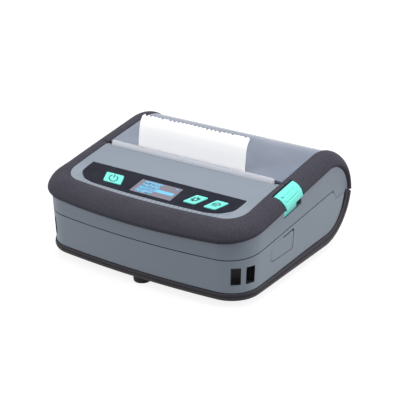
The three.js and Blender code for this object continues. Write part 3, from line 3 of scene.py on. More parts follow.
import bmesh
import bpy
import numpy as np
from mathutils import Matrix, Vector


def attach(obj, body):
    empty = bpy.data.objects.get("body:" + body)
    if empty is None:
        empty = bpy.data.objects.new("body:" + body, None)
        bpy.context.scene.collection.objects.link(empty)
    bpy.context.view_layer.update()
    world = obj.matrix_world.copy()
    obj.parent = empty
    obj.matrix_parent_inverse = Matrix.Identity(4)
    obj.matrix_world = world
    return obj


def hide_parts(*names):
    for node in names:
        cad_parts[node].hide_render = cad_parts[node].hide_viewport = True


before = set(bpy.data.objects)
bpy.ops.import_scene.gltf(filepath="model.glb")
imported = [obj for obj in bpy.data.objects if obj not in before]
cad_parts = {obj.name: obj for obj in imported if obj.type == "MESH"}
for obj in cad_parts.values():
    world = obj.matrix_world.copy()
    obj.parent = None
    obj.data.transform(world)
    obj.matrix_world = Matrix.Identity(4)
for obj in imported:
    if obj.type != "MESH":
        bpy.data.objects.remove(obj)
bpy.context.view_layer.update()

toMetres = 0.001


# Form of the case, in millimetres as in the CAD source

body = {
    "width": 150.4, "depth": 136.6, "footHeight": 4, "rearRadius": 30.4,
    "topSlope": 0.155, "sag": 0.025, "sagFrom": 4.8, "gap": 0.3,
}
rearY = body["depth"] / 2 - body["rearRadius"]
rearZ = body["footHeight"] + body["rearRadius"]
gap = body["gap"]
partingY = -4.5
partingZ = 36
rimRadius, rimSlope = 22.7, 0.165
panelRadius, panelSlope = 21.8, 0.026

# Plan outlines: half width, front, bow of the front, corner radius
rimInner = (63.2, 52.8, 4, 13)
rimBulge = (75.2, 68.3, 7.2, 23.5)
rimLow = (74.1, 66.4, 7.2, 22.5)
wallHigh = (73.6, 64, 6, 21)
wallLow = (71.8, 61.4, 4.6, 18.4)
trimTop = (72.5, 62.1, 4.6, 19.1)
trimInner = (62, 51.4, 3.6, 9)
trimBulge = (72.7, 62.3, 4.6, 19.3)

rimShares = [
    (0, 0), (0.07, -0.07), (0.22, -0.11), (0.42, -0.06), (0.62, 0.07), (0.8, 0.27), (0.93, 0.53), (1, 0.8),
    (0.908, 1),
]
trimFlare, trimTopFlare = 1.6, 0.48
lip = {"drop": 0.8, "from": 15, "over": 45}
seam = {
    "height": 36.2, "slope": 0.103,
    "hookY": 40.3, "length": 6.7, "drop": 6.2,
    "shares": [(0, 0), (0.35, -0.06), (0.62, -0.25), (0.8, -0.55), (1, -1)],
}
far = 140
trimShares = [(0, 0), (0.5, 0), (0.8, 0.05), (0.94, 0.22), (1, 0.6), (0.98, 1)]


def topHeight(y):
    ahead = max(0, partingY - y)
    line = rearZ + body["topSlope"] * (y - rearY) + body["rearRadius"] * math.hypot(1, body["topSlope"])
    return line - body["sag"] * ahead * ahead / (rimBulge[1] - body["sagFrom"])


def topLine(y, inset=0):
    return rearZ + body["topSlope"] * (y - rearY) + (body["rearRadius"] - inset) * math.hypot(1, body["topSlope"])


def rimLowHeight(y):
    return rearZ + rimSlope * (y - rearY) + rimRadius * math.hypot(1, rimSlope)


def panelLowHeight(y):
    return rearZ + panelSlope * (y - rearY) - panelRadius * math.hypot(1, panelSlope)


def seamHeightAt(y):
    return seam["height"] + seam["slope"] * y


def wallLowHeight(y):
    return panelLowHeight(y) - lip["drop"] * min(1, max(0, (lip["from"] - y) / lip["over"]))


# Rails: height along the side, radius, slope and side of the turn round the rear
topRail = (topHeight, body["rearRadius"], body["topSlope"], 1)
rimLowRail = (rimLowHeight, rimRadius, rimSlope, 1)
panelLowRail = (wallLowHeight, panelRadius, panelSlope, -1)
bottomRail = (lambda y: body["footHeight"], body["rearRadius"], 0, -1)


def insetOutline(outline, inset):
    halfWidth, front, bow, corner = outline
    return (halfWidth - inset, front - inset, bow, corner - inset)


def cornerOf(outline):
    halfWidth, front, bow, corner = outline
    turn = math.atan2(2 * bow * (halfWidth - corner), halfWidth * halfWidth)
    endX = halfWidth - corner + corner * math.sin(turn)
    y = -front + bow * (endX / halfWidth) ** 2 + corner * math.cos(turn)
    return halfWidth - corner, y, endX, math.pi / 2 - turn


def planPoint(outline, station):
    zone, value = station
    halfWidth, front, bow, corner = outline
    x, y, endX, sweep = cornerOf(outline)
    if zone == "corner":
        return x + corner * math.cos(sweep * value), y - corner * math.sin(sweep * value)
    if zone == "front":
        across = endX * (1 - value)
        return across, -front + bow * (across / halfWidth) ** 2
    return halfWidth, value


def railPoint(outline, station, rail):
    height, radius, slope, side = rail
    if station[0] == "arc":
        start = math.asin((partingZ - rearZ) / radius) * side
        full = math.pi / 2 + math.atan(slope) * side
        angle = start + (full - start) * station[1]
        return Vector((outline[0], rearY + radius * math.cos(angle), rearZ + side * radius * math.sin(angle)))
    x, y = planPoint(outline, station)
    return Vector((x, y, height(y)))


def arcStations(count):
    return [("arc", i / count) for i in range(count + 1)]


def sideStations(fromY, toY, count):
    return [("side", fromY + (toY - fromY) * i / count) for i in range(count + 1)]


def frontStations(corners=14, fronts=12):
    cornerStations = [("corner", i / corners) for i in range(corners + 1)]
    return cornerStations + [("front", i / fronts) for i in range(1, fronts + 1)]


def frameAt(station, inner, innerRail, bulge, low, lowRail, lowShare):
    origin = railPoint(inner, station, innerRail)
    outer = railPoint(bulge, station, innerRail)
    lateral = Vector((outer.x - origin.x, outer.y - origin.y, 0))
    depth = railPoint(low, station, lowRail) - origin - lateral * lowShare
    return origin, lateral.normalized(), lateral.length, depth.normalized(), depth.length


def rimFrame(station):
    return frameAt(station, rimInner, topRail, rimBulge, rimLow, rimLowRail, rimShares[-1][0])


def trimFrame(station):
    grow = (1 - station[1]) ** 2 if station[0] == "arc" else 0
    bulge, top = insetOutline(trimBulge, -trimFlare * grow), insetOutline(trimTop, -trimTopFlare * grow)
    return frameAt(station, trimInner, bottomRail, bulge, top, panelLowRail, trimShares[-1][0])


def placed(placement, section):
    origin, lateral, width, depth, height = placement
    return [origin + lateral * across + depth * down for across, down in section]


# Curves and polygons

def rectangle(x0, x1, y0, y1):
    return [(x0, y0), (x1, y0), (x1, y1), (x0, y1)]


def circle(radius, x, y):
    turns = np.linspace(0, 2 * math.pi, 17)[:-1]
    return [(x + radius * math.cos(turn), y + radius * math.sin(turn)) for turn in turns]


def smoothCurve(points, steps):
    ends = [points[0]] + list(points) + [points[-1]]
    out = []
    for i in range(1, len(ends) - 2):
        a, b, c, d = (np.array(p, float) for p in ends[i - 1:i + 3])
        for k in range(steps):
            t = k / steps
            bend, twist = 2 * a - 5 * b + 4 * c - d, 3 * b - a - 3 * c + d
            out.append(tuple(0.5 * (2 * b + (c - a) * t + bend * t ** 2 + twist * t ** 3)))
    return out + [tuple(map(float, points[-1]))]


def roundedPolygon(points, radii, steps=3):
    out = []
    count = len(points)
    for i, point in enumerate(points):
        radius = radii[i] if isinstance(radii, (list, tuple)) else radii
        if radius <= 0:
            out.append(tuple(point))
            continue
        here, before, after = (np.array(points[k % count], float) for k in (i, i - 1, i + 1))
        toBefore, toAfter = before - here, after - here
        reach = min(radius, np.linalg.norm(toBefore) * 0.45, np.linalg.norm(toAfter) * 0.45)
        start = here + toBefore / np.linalg.norm(toBefore) * reach
        end = here + toAfter / np.linalg.norm(toAfter) * reach
        for k in range(steps + 1):
            t = k / steps
            out.append(tuple(start * (1 - t) ** 2 + here * 2 * t * (1 - t) + end * t ** 2))
    return out


def curvePoints(placement, shares, inset, wall, downwards):
    width, height = placement[2], placement[4]
    points = [(min(a, 1) * (width - inset), wall + d * (height - wall)) for a, d in shares]
    return points if downwards else points[::-1]


# Meshes

def newObject(name, vertices, faces):
    mesh = bpy.data.meshes.new(name)
    mesh.from_pydata([tuple(c * toMetres for c in v) for v in vertices], [], faces)
    shape = bmesh.new()
    shape.from_mesh(mesh)
    bmesh.ops.remove_doubles(shape, verts=shape.verts, dist=1e-7)
    bmesh.ops.recalc_face_normals(shape, faces=shape.faces)
    shape.to_mesh(mesh)
    shape.free()
    piece = bpy.data.objects.new(name, mesh)
    bpy.context.scene.collection.objects.link(piece)
    return piece


def lofted(name, rings, closed=False):
    count = len(rings[0])
    vertices = [tuple(p) for ring in rings for p in ring]
    faces = []
    spans = len(rings) if closed else len(rings) - 1
    for i in range(spans):
        here, there = i * count, (i + 1) % len(rings) * count
        for j in range(count):
            after = (j + 1) % count
            faces.append((here + j, here + after, there + after, there + j))
    if not closed:
        faces.append(tuple(range(count))[::-1])
        faces.append(tuple((len(rings) - 1) * count + j for j in range(count)))
    return newObject(name, vertices, faces)


def mirrorRings(rings):
    left = [[Vector((-p[0], p[1], p[2])) for p in ring] for ring in rings]
    return rings + left[:-1][::-1]


def barAlongX(name, outline, x0, x1):
    return lofted(name, [[(x, y, z) for y, z in outline] for x in (x0, x1)])


def barAlongZ(name, outline, z0, z1):
    return lofted(name, [[(x, y, z) for x, y in outline] for z in (z0, z1)])


def turnedAlong(name, axis, profile, centre, steps):
    rings = []
    for i in range(steps):
        angle = 2 * math.pi * i / steps
        ring = [(a, centre[0] + r * math.cos(angle), centre[1] + r * math.sin(angle)) for a, r in profile]
        rings.append([(a, u, v) if axis == "X" else (u, v, a) for a, u, v in ring])
    return lofted(name, rings, closed=True)


def tubeAlong(name, axis, outer, inner, a0, a1, centre, edge, steps):
    profile = roundedPolygon([(a0, inner), (a0, outer), (a1, outer), (a1, inner)], edge)
    return turnedAlong(name, axis, profile, centre, steps)


# Rods keep an eye this wide along their axis, so that their end faces stay rings of four-sided faces
rodEye = 0.02


def rodAlong(name, axis, radius, a0, a1, centre, edge=0.2, steps=32):
    return tubeAlong(name, axis, radius, rodEye, a0, a1, centre, edge, steps)


def joinPieces(name, parts):
    mesh = bpy.data.meshes.new(name)
    shape = bmesh.new()
    for part in parts:
        shape.from_mesh(part.data)
    shape.to_mesh(mesh)
    shape.free()
    for part in parts:
        bpy.data.objects.remove(part)
    piece = bpy.data.objects.new(name, mesh)
    bpy.context.scene.collection.objects.link(piece)
    return piece


def applyModifiers(piece):
    depsgraph = bpy.context.evaluated_depsgraph_get()
    mesh = bpy.data.meshes.new_from_object(piece.evaluated_get(depsgraph))
    piece.modifiers.clear()
    piece.data = mesh
    return piece


def cutWith(piece, cutters, merge=False):
    cutter = joinPieces("cutter", cutters)
    change = piece.modifiers.new("cut", "BOOLEAN")
    change.operation = "DIFFERENCE"
    change.solver = "EXACT"
    change.use_self = merge
    change.object = cutter
    applyModifiers(piece)
    bpy.data.objects.remove(cutter)
    return piece


def bevelled(piece, width, segments=2, angle=38):
    change = piece.modifiers.new("edges", "BEVEL")
    change.width = width * toMetres
    change.segments = segments
    change.limit_method = "ANGLE"
    change.angle_limit = math.radians(angle)
    change.use_clamp_overlap = True
    return applyModifiers(piece)


def place(piece, bodyName, finish, nodes=(), slotName=None, smooth=32):
    mesh = piece.data
    mesh.materials.clear()
    mesh.materials.append(finish)
    mesh.shade_smooth()
    mesh.set_sharp_from_angle(angle=math.radians(smooth))
    piece.modifiers.new("normals", "WEIGHTED_NORMAL").keep_sharp = True
    applyModifiers(piece)
    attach(piece, bodyName)
    if nodes:
        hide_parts(*nodes)
    return piece


# Shader helpers

def feed(tree, node, inputs):
    for key, value in inputs.items():
        if isinstance(value, bpy.types.NodeSocket):
            tree.links.new(value, node.inputs[key])
        else:
            node.inputs[key].default_value = value
    return node


def addNode(tree, kind, inputs=None, **settings):
    node = tree.nodes.new(kind)
    for key, value in settings.items():
        setattr(node, key, value)
    return feed(tree, node, inputs or {})


def maths(tree, operation, *values):
    return addNode(tree, "ShaderNodeMath", dict(enumerate(values)), operation=operation).outputs[0]


def product(tree, first, *others):
    for other in others:
        first = maths(tree, "MULTIPLY", first, other)
    return first


def difference(tree, first, second):
    return maths(tree, "SUBTRACT", first, second)


def remap(tree, value, low, high, newLow=0.0, newHigh=1.0):
    inputs = {"Value": value, "From Min": low, "From Max": high, "To Min": newLow, "To Max": newHigh}
    return addNode(tree, "ShaderNodeMapRange", inputs).outputs[0]


def between(tree, value, ends):
    return remap(tree, value, ends[0] * toMetres, ends[1] * toMetres)


def mixColour(tree, factor, first, second, blend="MIX"):
    node = addNode(tree, "ShaderNodeMix", data_type="RGBA", blend_type=blend)
    return feed(tree, node, {0: factor, 6: first, 7: second}).outputs[2]


def shaded(tree, colour, level):
    grey = addNode(tree, "ShaderNodeCombineColor", {"Red": level, "Green": level, "Blue": level})
    return mixColour(tree, 1.0, colour, grey.outputs[0], "MULTIPLY")


def objectCoords(tree):
    return tree.nodes.new("ShaderNodeTexCoord").outputs["Object"]


def objectPlace(tree):
    return addNode(tree, "ShaderNodeSeparateXYZ", {"Vector": objectCoords(tree)}).outputs


def noise(tree, place, scale, detail, roughness=0.5):
    inputs = {"Vector": place, "Scale": scale, "Detail": detail, "Roughness": roughness}
    return addNode(tree, "ShaderNodeTexNoise", inputs).outputs["Fac"]


def stretched(tree, scale):
    return addNode(tree, "ShaderNodeMapping", {"Vector": objectCoords(tree), "Scale": scale}).outputs[0]


def linear(*channels):
    return tuple((c / 255 / 12.92) if c <= 10 else ((c / 255 + 0.055) / 1.055) ** 2.4 for c in channels) + (1,)


socketKinds = {"VALUE": "NodeSocketFloat", "RGBA": "NodeSocketColor"}


def inputKind(value):
    if isinstance(value, float):
        return "NodeSocketFloat"
    return "NodeSocketVector" if len(value) == 3 else "NodeSocketColor"


def sharedGroup(name, inputs, build):
    tree = bpy.data.node_groups.new(name, "ShaderNodeTree")
    for label, value in inputs.items():
        socket = tree.interface.new_socket(label, in_out="INPUT", socket_type=inputKind(value))
        socket.default_value = value
    results = build(tree, tree.nodes.new("NodeGroupInput").outputs)
    for label, result in results.items():
        tree.interface.new_socket(label, in_out="OUTPUT", socket_type=socketKinds[result.type])
    feed(tree, tree.nodes.new("NodeGroupOutput"), results)
    return tree


# Moulded grain: spark-eroded pits, with the mottling that comes with them
def buildGrain(tree, given):
    place = objectCoords(tree)
    pits = noise(tree, place, given["Pits Per Metre"], 2.0, 0.6)
    mottle = difference(tree, noise(tree, place, given["Mottle Per Metre"], 3.0, 0.55), 0.5)
    shade = maths(tree, "MULTIPLY_ADD", difference(tree, pits, 0.5), given["Speckle"], 1.0)
    shade = maths(tree, "MULTIPLY_ADD", mottle, given["Mottle"], shade)
    return {
        "Colour": shaded(tree, given["Colour"], shade), "Height": pits,
        "Roughness Shift": product(tree, mottle, 0.16),
    }


# Wear: edges rubbed a little lighter and smoother, broken up by noise
def buildWear(tree, given):
    normal = tree.nodes.new("ShaderNodeNewGeometry").outputs["Normal"]
    rounded = addNode(tree, "ShaderNodeBevel", {"Radius": 0.0005}, samples=4).outputs[0]
    along = addNode(tree, "ShaderNodeVectorMath", {0: normal, 1: rounded}, operation="DOT_PRODUCT")
    edge = product(tree, difference(tree, 1.0, along.outputs["Value"]), given["Sharpness"])
    broken = remap(tree, noise(tree, objectCoords(tree), given["Break Up Per Metre"], 4.0, 0.6), 0.4, 0.62)
    return {"Mask": addNode(tree, "ShaderNodeClamp", {"Value": product(tree, edge, broken)}).outputs[0]}


# Dust: a thin film that lies on what faces up
def buildDust(tree, given):
    coords = tree.nodes.new("ShaderNodeTexCoord").outputs
    facing = addNode(tree, "ShaderNodeSeparateXYZ", {"Vector": coords["Normal"]}).outputs["Z"]
    patches = noise(tree, coords["Object"], given["Patches Per Metre"], 5.0, 0.7)
    film = product(tree, remap(tree, facing, 0.3, 1.0), remap(tree, patches, 0.4, 0.75), given["Amount"])
    return {"Mask": film}


# Paper: fibres along the web, and a faint cloudiness
def buildFibre(tree, given):
    place = stretched(tree, (1.0, 0.35, 0.35))
    fibres = noise(tree, place, given["Fibres Per Metre"], 3.0)
    both = maths(tree, "ADD", fibres, noise(tree, place, 70.0, 3.0))
    shade = maths(tree, "MULTIPLY_ADD", difference(tree, both, 1.0), given["Contrast"], 1.0)
    return {"Colour": shaded(tree, given["Colour"], shade), "Height": fibres}


# Brushing: fine lines along one axis, for sheet metal and turned bars
def buildBrushed(tree, given):
    lines = noise(tree, stretched(tree, given["Stretch"]), given["Lines Per Metre"], 2.0)
    shade = maths(tree, "MULTIPLY_ADD", difference(tree, lines, 0.5), given["Contrast"], 1.0)
    return {
        "Colour": shaded(tree, given["Colour"], shade), "Height": lines,
        "Roughness": remap(tree, lines, 0.3, 0.7, 0.24, 0.42),
    }


grainGroup = sharedGroup("mouldedGrain", {
    "Pits Per Metre": 2600.0, "Mottle Per Metre": 90.0, "Mottle": 0.05, "Speckle": 0.1, "Colour": (0.5, 0.5, 0.5, 1),
}, buildGrain)
wearGroup = sharedGroup("rubbedEdges", {"Sharpness": 6.0, "Break Up Per Metre": 350.0}, buildWear)
dustGroup = sharedGroup("thinDust", {"Amount": 0.1, "Patches Per Metre": 60.0}, buildDust)
fibreGroup = sharedGroup("paperFibre", {
    "Colour": (0.9, 0.9, 0.9, 1), "Fibres Per Metre": 1500.0, "Contrast": 0.03,
}, buildFibre)
brushGroup = sharedGroup("brushedLines", {
    "Lines Per Metre": 3000.0, "Stretch": (0.03, 1.0, 1.0), "Contrast": 0.12, "Colour": (0.6, 0.6, 0.6, 1),
}, buildBrushed)
print("shader groups built")


# Finishes

def newMaterial(name):
    finish = bpy.data.materials.new(name)
    finish.use_nodes = True
    tree = finish.node_tree
    return finish, tree, tree.nodes["Principled BSDF"]


def useGroup(tree, group, inputs=None):
    return addNode(tree, "ShaderNodeGroup", inputs, node_tree=group).outputs


def bumpFrom(tree, shader, height, strength, depth):
    bump = addNode(tree, "ShaderNodeBump", {"Height": height, "Strength": strength, "Distance": depth * toMetres})
    tree.links.new(bump.outputs["Normal"], shader.inputs["Normal"])


def grainOf(tree, settings):
    return useGroup(tree, grainGroup, {
        "Pits Per Metre": settings["pits"], "Mottle Per Metre": settings["clouds"],
        "Speckle": settings["speckle"], "Mottle": settings["mottle"], "Colour": settings["colour"],
    })


# Rubbed edges and dust over a surface, as masks that its settings weigh
def wornAndDusty(tree, surface, worn, settings):
    surface = mixColour(tree, product(tree, worn, settings["wear"]), surface, settings["wornColour"])
    dust = useGroup(tree, dustGroup, {"Amount": settings["dust"], "Patches Per Metre": settings["patches"]})
    return mixColour(tree, dust["Mask"], surface, settings["dustColour"])


usualPlastic = {
    "roughness": 0.5, "pits": 2600.0, "speckle": 0.08, "mottle": 0.04, "clouds": 90.0, "bump": 0.25, "depth": 0.05,
    "wear": 0.25, "wornShine": 0.12, "dust": 0.05, "patches": 60.0, "dustColour": linear(196, 193, 186),
    "level": 0.5, "clear": 0.0, "refraction": 1.5,
}


def mouldedPlastic(name, chosen):
    lighter = tuple(min(1, c * 1.35 + 0.03) for c in chosen["colour"][:3]) + (1,)
    settings = {**usualPlastic, "wornColour": lighter, **chosen}
    finish, tree, shader = newMaterial(name)
    grain = grainOf(tree, settings)
    worn = useGroup(tree, wearGroup)["Mask"]
    rough = maths(tree, "ADD", grain["Roughness Shift"], settings["roughness"])
    feed(tree, shader, {
        "Base Color": wornAndDusty(tree, grain["Colour"], worn, settings),
        "Roughness": maths(tree, "MULTIPLY_ADD", worn, -settings["wornShine"], rough),
        "Specular IOR Level": settings["level"],
        "Transmission Weight": settings["clear"],
        "IOR": settings["refraction"],
    })
    bumpFrom(tree, shader, grain["Height"], settings["bump"], settings["depth"])
    return finish


def metal(name, settings):
    finish, tree, shader = newMaterial(name)
    lined = useGroup(tree, brushGroup, {
        "Lines Per Metre": settings["lines"], "Stretch": settings["stretch"],
        "Contrast": settings["contrast"], "Colour": settings["colour"],
    })
    worn = product(tree, useGroup(tree, wearGroup)["Mask"], 0.4)
    feed(tree, shader, {
        "Base Color": mixColour(tree, worn, lined["Colour"], (0.9, 0.9, 0.9, 1)),
        "Roughness": lined["Roughness"], "Metallic": 1.0,
    })
    bumpFrom(tree, shader, lined["Height"], 0.12, 0.02)
    return finish


plastics = {
    "caseGrey": ("caseGreyPlastic", {
        "colour": linear(120, 129, 140), "pits": 2400.0, "speckle": 0.06, "mottle": 0.03, "bump": 0.18,
        "wear": 0.12, "dust": 0.02, "level": 0.35,
    }),
    "rimCharcoal": ("rimCharcoalPlastic", {
        "colour": linear(54, 53, 62), "roughness": 0.66, "pits": 900.0, "speckle": 1.0, "mottle": 0.12, "bump": 0.8,
        "wear": 0.1, "dust": 0.015, "level": 0.12,
    }),
    "baseBlack": ("baseBlackPlastic", {
        "colour": linear(36, 34, 40), "roughness": 0.6, "pits": 1800.0, "speckle": 0.2, "mottle": 0.06, "bump": 0.5,
        "wear": 0.2, "dust": 0.02, "level": 0.3,
    }),
    "innerBlack": ("innerBlackPlastic", {
        "colour": linear(30, 31, 34), "roughness": 0.55, "pits": 2200.0, "speckle": 0.15, "mottle": 0.05,
        "bump": 0.3, "dust": 0.06,
    }),
    "teal": ("tealPlastic", {
        "colour": linear(101, 207, 195), "roughness": 0.36, "pits": 2400.0, "speckle": 0.03, "mottle": 0.03,
        "bump": 0.12, "wear": 0.2, "dust": 0.01,
    }),
    "gearWhite": ("gearAcetal", {
        "colour": linear(222, 221, 212), "roughness": 0.42, "pits": 1500.0, "speckle": 0.03, "mottle": 0.05,
        "bump": 0.1, "wear": 0.1, "dust": 0.04,
    }),
    "rubber": ("blackRubber", {
        "colour": linear(30, 30, 31), "roughness": 0.82, "pits": 1600.0, "speckle": 0.25, "mottle": 0.1,
        "bump": 0.5, "wear": 0.35, "dust": 0.08, "level": 0.35,
    }),
    "flapRubber": ("greyRubber", {
        "colour": linear(121, 130, 141), "roughness": 0.58, "pits": 2000.0, "bump": 0.3, "wear": 0.3,
        "dust": 0.02, "level": 0.4,
    }),
    "overlay": ("overlayFilm", {
        "colour": linear(23, 25, 36), "roughness": 0.45, "pits": 5200.0, "speckle": 0.1, "mottle": 0.1,
        "bump": 0.08, "depth": 0.02, "wear": 0.3, "wornColour": linear(96, 100, 112), "wornShine": 0.0,
        "dust": 0.025, "patches": 110.0, "dustColour": linear(170, 170, 170), "level": 0.05,
    }),
    "frosted": ("frostedBar", {
        "colour": linear(200, 203, 213), "roughness": 0.38, "pits": 4200.0, "mottle": 0.08, "bump": 0.3,
        "depth": 0.04, "wear": 0.5, "wornColour": linear(250, 250, 252), "wornShine": 0.0, "dust": 0.0,
        "clear": 0.25, "refraction": 1.4,
    }),
    "wrap": ("batteryWrap", {
        "colour": linear(58, 92, 150), "roughness": 0.28, "pits": 400.0, "speckle": 0.1, "mottle": 0.15,
        "clouds": 40.0, "bump": 0.15, "depth": 0.2, "wear": 0.4, "wornColour": linear(140, 160, 200),
        "wornShine": 0.0, "dust": 0.0,
    }),
}
metals = {
    "steel": ("sheetSteel", {
        "colour": linear(188, 190, 193), "stretch": (0.04, 1.0, 1.0), "lines": 3000.0, "contrast": 0.12,
    }),
    "turnedSteel": ("turnedSteel", {
        "colour": linear(196, 198, 200), "stretch": (1.0, 0.04, 0.04), "lines": 4000.0, "contrast": 0.08,
    }),
    "aluminium": ("headAluminium", {
        "colour": linear(205, 207, 210), "stretch": (0.03, 1.0, 1.0), "lines": 2600.0, "contrast": 0.08,
    }),
    "bronze": ("sinteredBronze", {
        "colour": linear(190, 148, 96), "stretch": (1.0, 1.0, 1.0), "lines": 2200.0, "contrast": 0.3,
    }),
}
finishes = {key: mouldedPlastic(*entry) for key, entry in plastics.items()}
finishes.update({key: metal(*entry) for key, entry in metals.items()})

# The deck has a smoother border, hatched in its middle, whose places are in millimetres
deckLook = {
    **usualPlastic, "colour": linear(116, 125, 136), "pits": 2400.0, "speckle": 0.05, "mottle": 0.03, "wear": 0.2,
    "wornColour": linear(205, 210, 216), "dust": 0.02, "level": 0.35, "bump": 0.2,
    "borderColour": linear(124, 132, 143), "borderLift": 0.85, "strip": (3.4, 3.1), "aside": (54.5, 55.5),
    "ahead": (-31, -37), "above": (44, 46),
    "hatchColour": linear(102, 110, 121), "lean": -0.1, "pitch": 3.1, "contrast": 0.85, "within": (52, 47),
    "wave": (0.1, 0.8), "hatchDepth": 1.2,
}


def makeDeckGrey(settings):
    finish, tree, shader = newMaterial("deckGreyPlastic")
    grain = grainOf(tree, settings)
    where = objectPlace(tree)
    aside = maths(tree, "ABSOLUTE", where["X"])
    side = maths(tree, "DIVIDE", where["X"], rimInner[0] * toMetres)
    bow = product(tree, side, side, rimInner[2] * toMetres)
    along = difference(tree, difference(tree, where["Y"], bow), -rimInner[1] * toMetres)
    sides = product(tree, between(tree, aside, settings["aside"]), between(tree, where["Y"], settings["ahead"]))
    border = maths(tree, "MAXIMUM", between(tree, along, settings["strip"]), sides)
    border = product(tree, between(tree, where["Z"], settings["above"]), border)
    slant = maths(tree, "MULTIPLY_ADD", where["Y"], settings["lean"], where["X"])
    wave = maths(tree, "SINE", product(tree, slant, 2 * math.pi / (settings["pitch"] * toMetres)))
    hatch = product(tree, border, between(tree, aside, settings["within"]), remap(tree, wave, *settings["wave"]))
    lifted = product(tree, border, settings["borderLift"])
    surface = mixColour(tree, lifted, grain["Colour"], settings["borderColour"])
    surface = mixColour(tree, product(tree, hatch, settings["contrast"]), surface, settings["hatchColour"])
    feed(tree, shader, {
        "Base Color": wornAndDusty(tree, surface, useGroup(tree, wearGroup)["Mask"], settings),
        "Roughness": maths(tree, "ADD", grain["Roughness Shift"], settings["roughness"]),
        "Specular IOR Level": settings["level"],
    })
    relief = maths(tree, "MULTIPLY_ADD", hatch, -settings["hatchDepth"], grain["Height"])
    bumpFrom(tree, shader, relief, settings["bump"], settings["depth"])
    return finish


windowLook = {
    "dark": linear(135, 146, 165), "light": linear(152, 160, 177), "worn": linear(190, 195, 205), "wear": 0.3,
    "roughness": 0.22, "scuff": 0.02, "clear": 0.45, "refraction": 1.45,
}


def makeWindowPlastic(settings):
    finish, tree, shader = newMaterial("smokyWindow")
    haze = noise(tree, objectCoords(tree), 24.0, 3.0)
    tint = mixColour(tree, remap(tree, haze, 0.35, 0.65), settings["dark"], settings["light"])
    worn = product(tree, useGroup(tree, wearGroup)["Mask"], settings["wear"])
    scuffs = noise(tree, objectCoords(tree), 900.0, 3.0)
    smooth, dull = settings["roughness"] - settings["scuff"], settings["roughness"] + settings["scuff"]
    feed(tree, shader, {
        "Base Color": mixColour(tree, worn, tint, settings["worn"]),
        "Roughness": remap(tree, scuffs, 0.3, 0.7, smooth, dull),
        "Transmission Weight": settings["clear"], "IOR": settings["refraction"],
    })
    bumpFrom(tree, shader, haze, 0.04, 0.2)
    return finish


fibreLooks = {
    "paper": ("thermalPaper", {
        "colour": linear(253, 253, 254), "contrast": 0.035, "fibres": 1500.0, "roughness": (0.62, 0.78),
        "bump": 0.12, "depth": 0.04,
    }),
    "cardboard": ("coreCardboard", {
        "colour": linear(176, 146, 110), "contrast": 0.35, "fibres": 900.0, "roughness": (0.8, 0.95),
        "bump": 0.4, "depth": 0.08,
    }),
}


def fibrous(name, settings):
    finish, tree, shader = newMaterial(name)
    fibre = useGroup(tree, fibreGroup, {
        "Colour": settings["colour"], "Contrast": settings["contrast"], "Fibres Per Metre": settings["fibres"],
    })
    feed(tree, shader, {
        "Base Color": fibre["Colour"], "Roughness": remap(tree, fibre["Height"], 0.3, 0.7, *settings["roughness"]),
    })
    bumpFrom(tree, shader, fibre["Height"], settings["bump"], settings["depth"])
    return finish


roll = {"centre": (34.9, 32), "pitch": 0.5, "colour": linear(238, 238, 240), "shadow": linear(150, 152, 158)}


def makeWoundPaper(settings):
    finish, tree, shader = newMaterial("woundPaper")
    fibre = useGroup(tree, fibreGroup, {"Colour": settings["colour"], "Contrast": 0.05})
    where = objectPlace(tree)
    dy = difference(tree, where["Y"], settings["centre"][0] * toMetres)
    dz = difference(tree, where["Z"], settings["centre"][1] * toMetres)
    radius = maths(tree, "SQRT", maths(tree, "ADD", product(tree, dy, dy), product(tree, dz, dz)))
    turns = maths(tree, "SINE", product(tree, radius, 2 * math.pi / (settings["pitch"] * toMetres)))
    loose = addNode(tree, "ShaderNodeTexNoise", {"Scale": 1800.0, "Detail": 1.0, "W": radius}, noise_dimensions="1D")
    rings = maths(tree, "MULTIPLY_ADD", turns, 0.5, loose.outputs["Fac"])
    dark = remap(tree, rings, 0.2, 1.1, 0.0, 0.35)
    feed(tree, shader, {
        "Base Color": mixColour(tree, dark, fibre["Colour"], settings["shadow"]),
        "Roughness": remap(tree, rings, 0.0, 1.0, 0.85, 0.7),
    })
    bumpFrom(tree, shader, rings, 0.25, 0.06)
    return finish


# Rows and bar of the display as shares of its height, then of its width
display = {
    "halfWidth": 14.95, "front": -46.5, "back": -32.6,
    "ground": linear(104, 99, 112), "glow": linear(92, 168, 202), "ink": linear(34, 52, 88),
    "cells": 40, "rows": 4.5, "strength": 0.16, "lit": 0.72, "marks": 0.8, "barMarks": 0.5, "barText": 0.42,
    "lines": [(0.57, 0.95, 0.12, 0.53), (0.07, 0.3, 0.1, 0.5), (0.8, 0.9, 0.86, 0.92)],
    "bar": (0.33, 0.54, 0.11, 0.93),
}


def band(tree, value, low, high, soft):
    rise = remap(tree, value, low - soft, low + soft)
    return product(tree, rise, remap(tree, value, high - soft, high + soft, 1.0, 0.0))


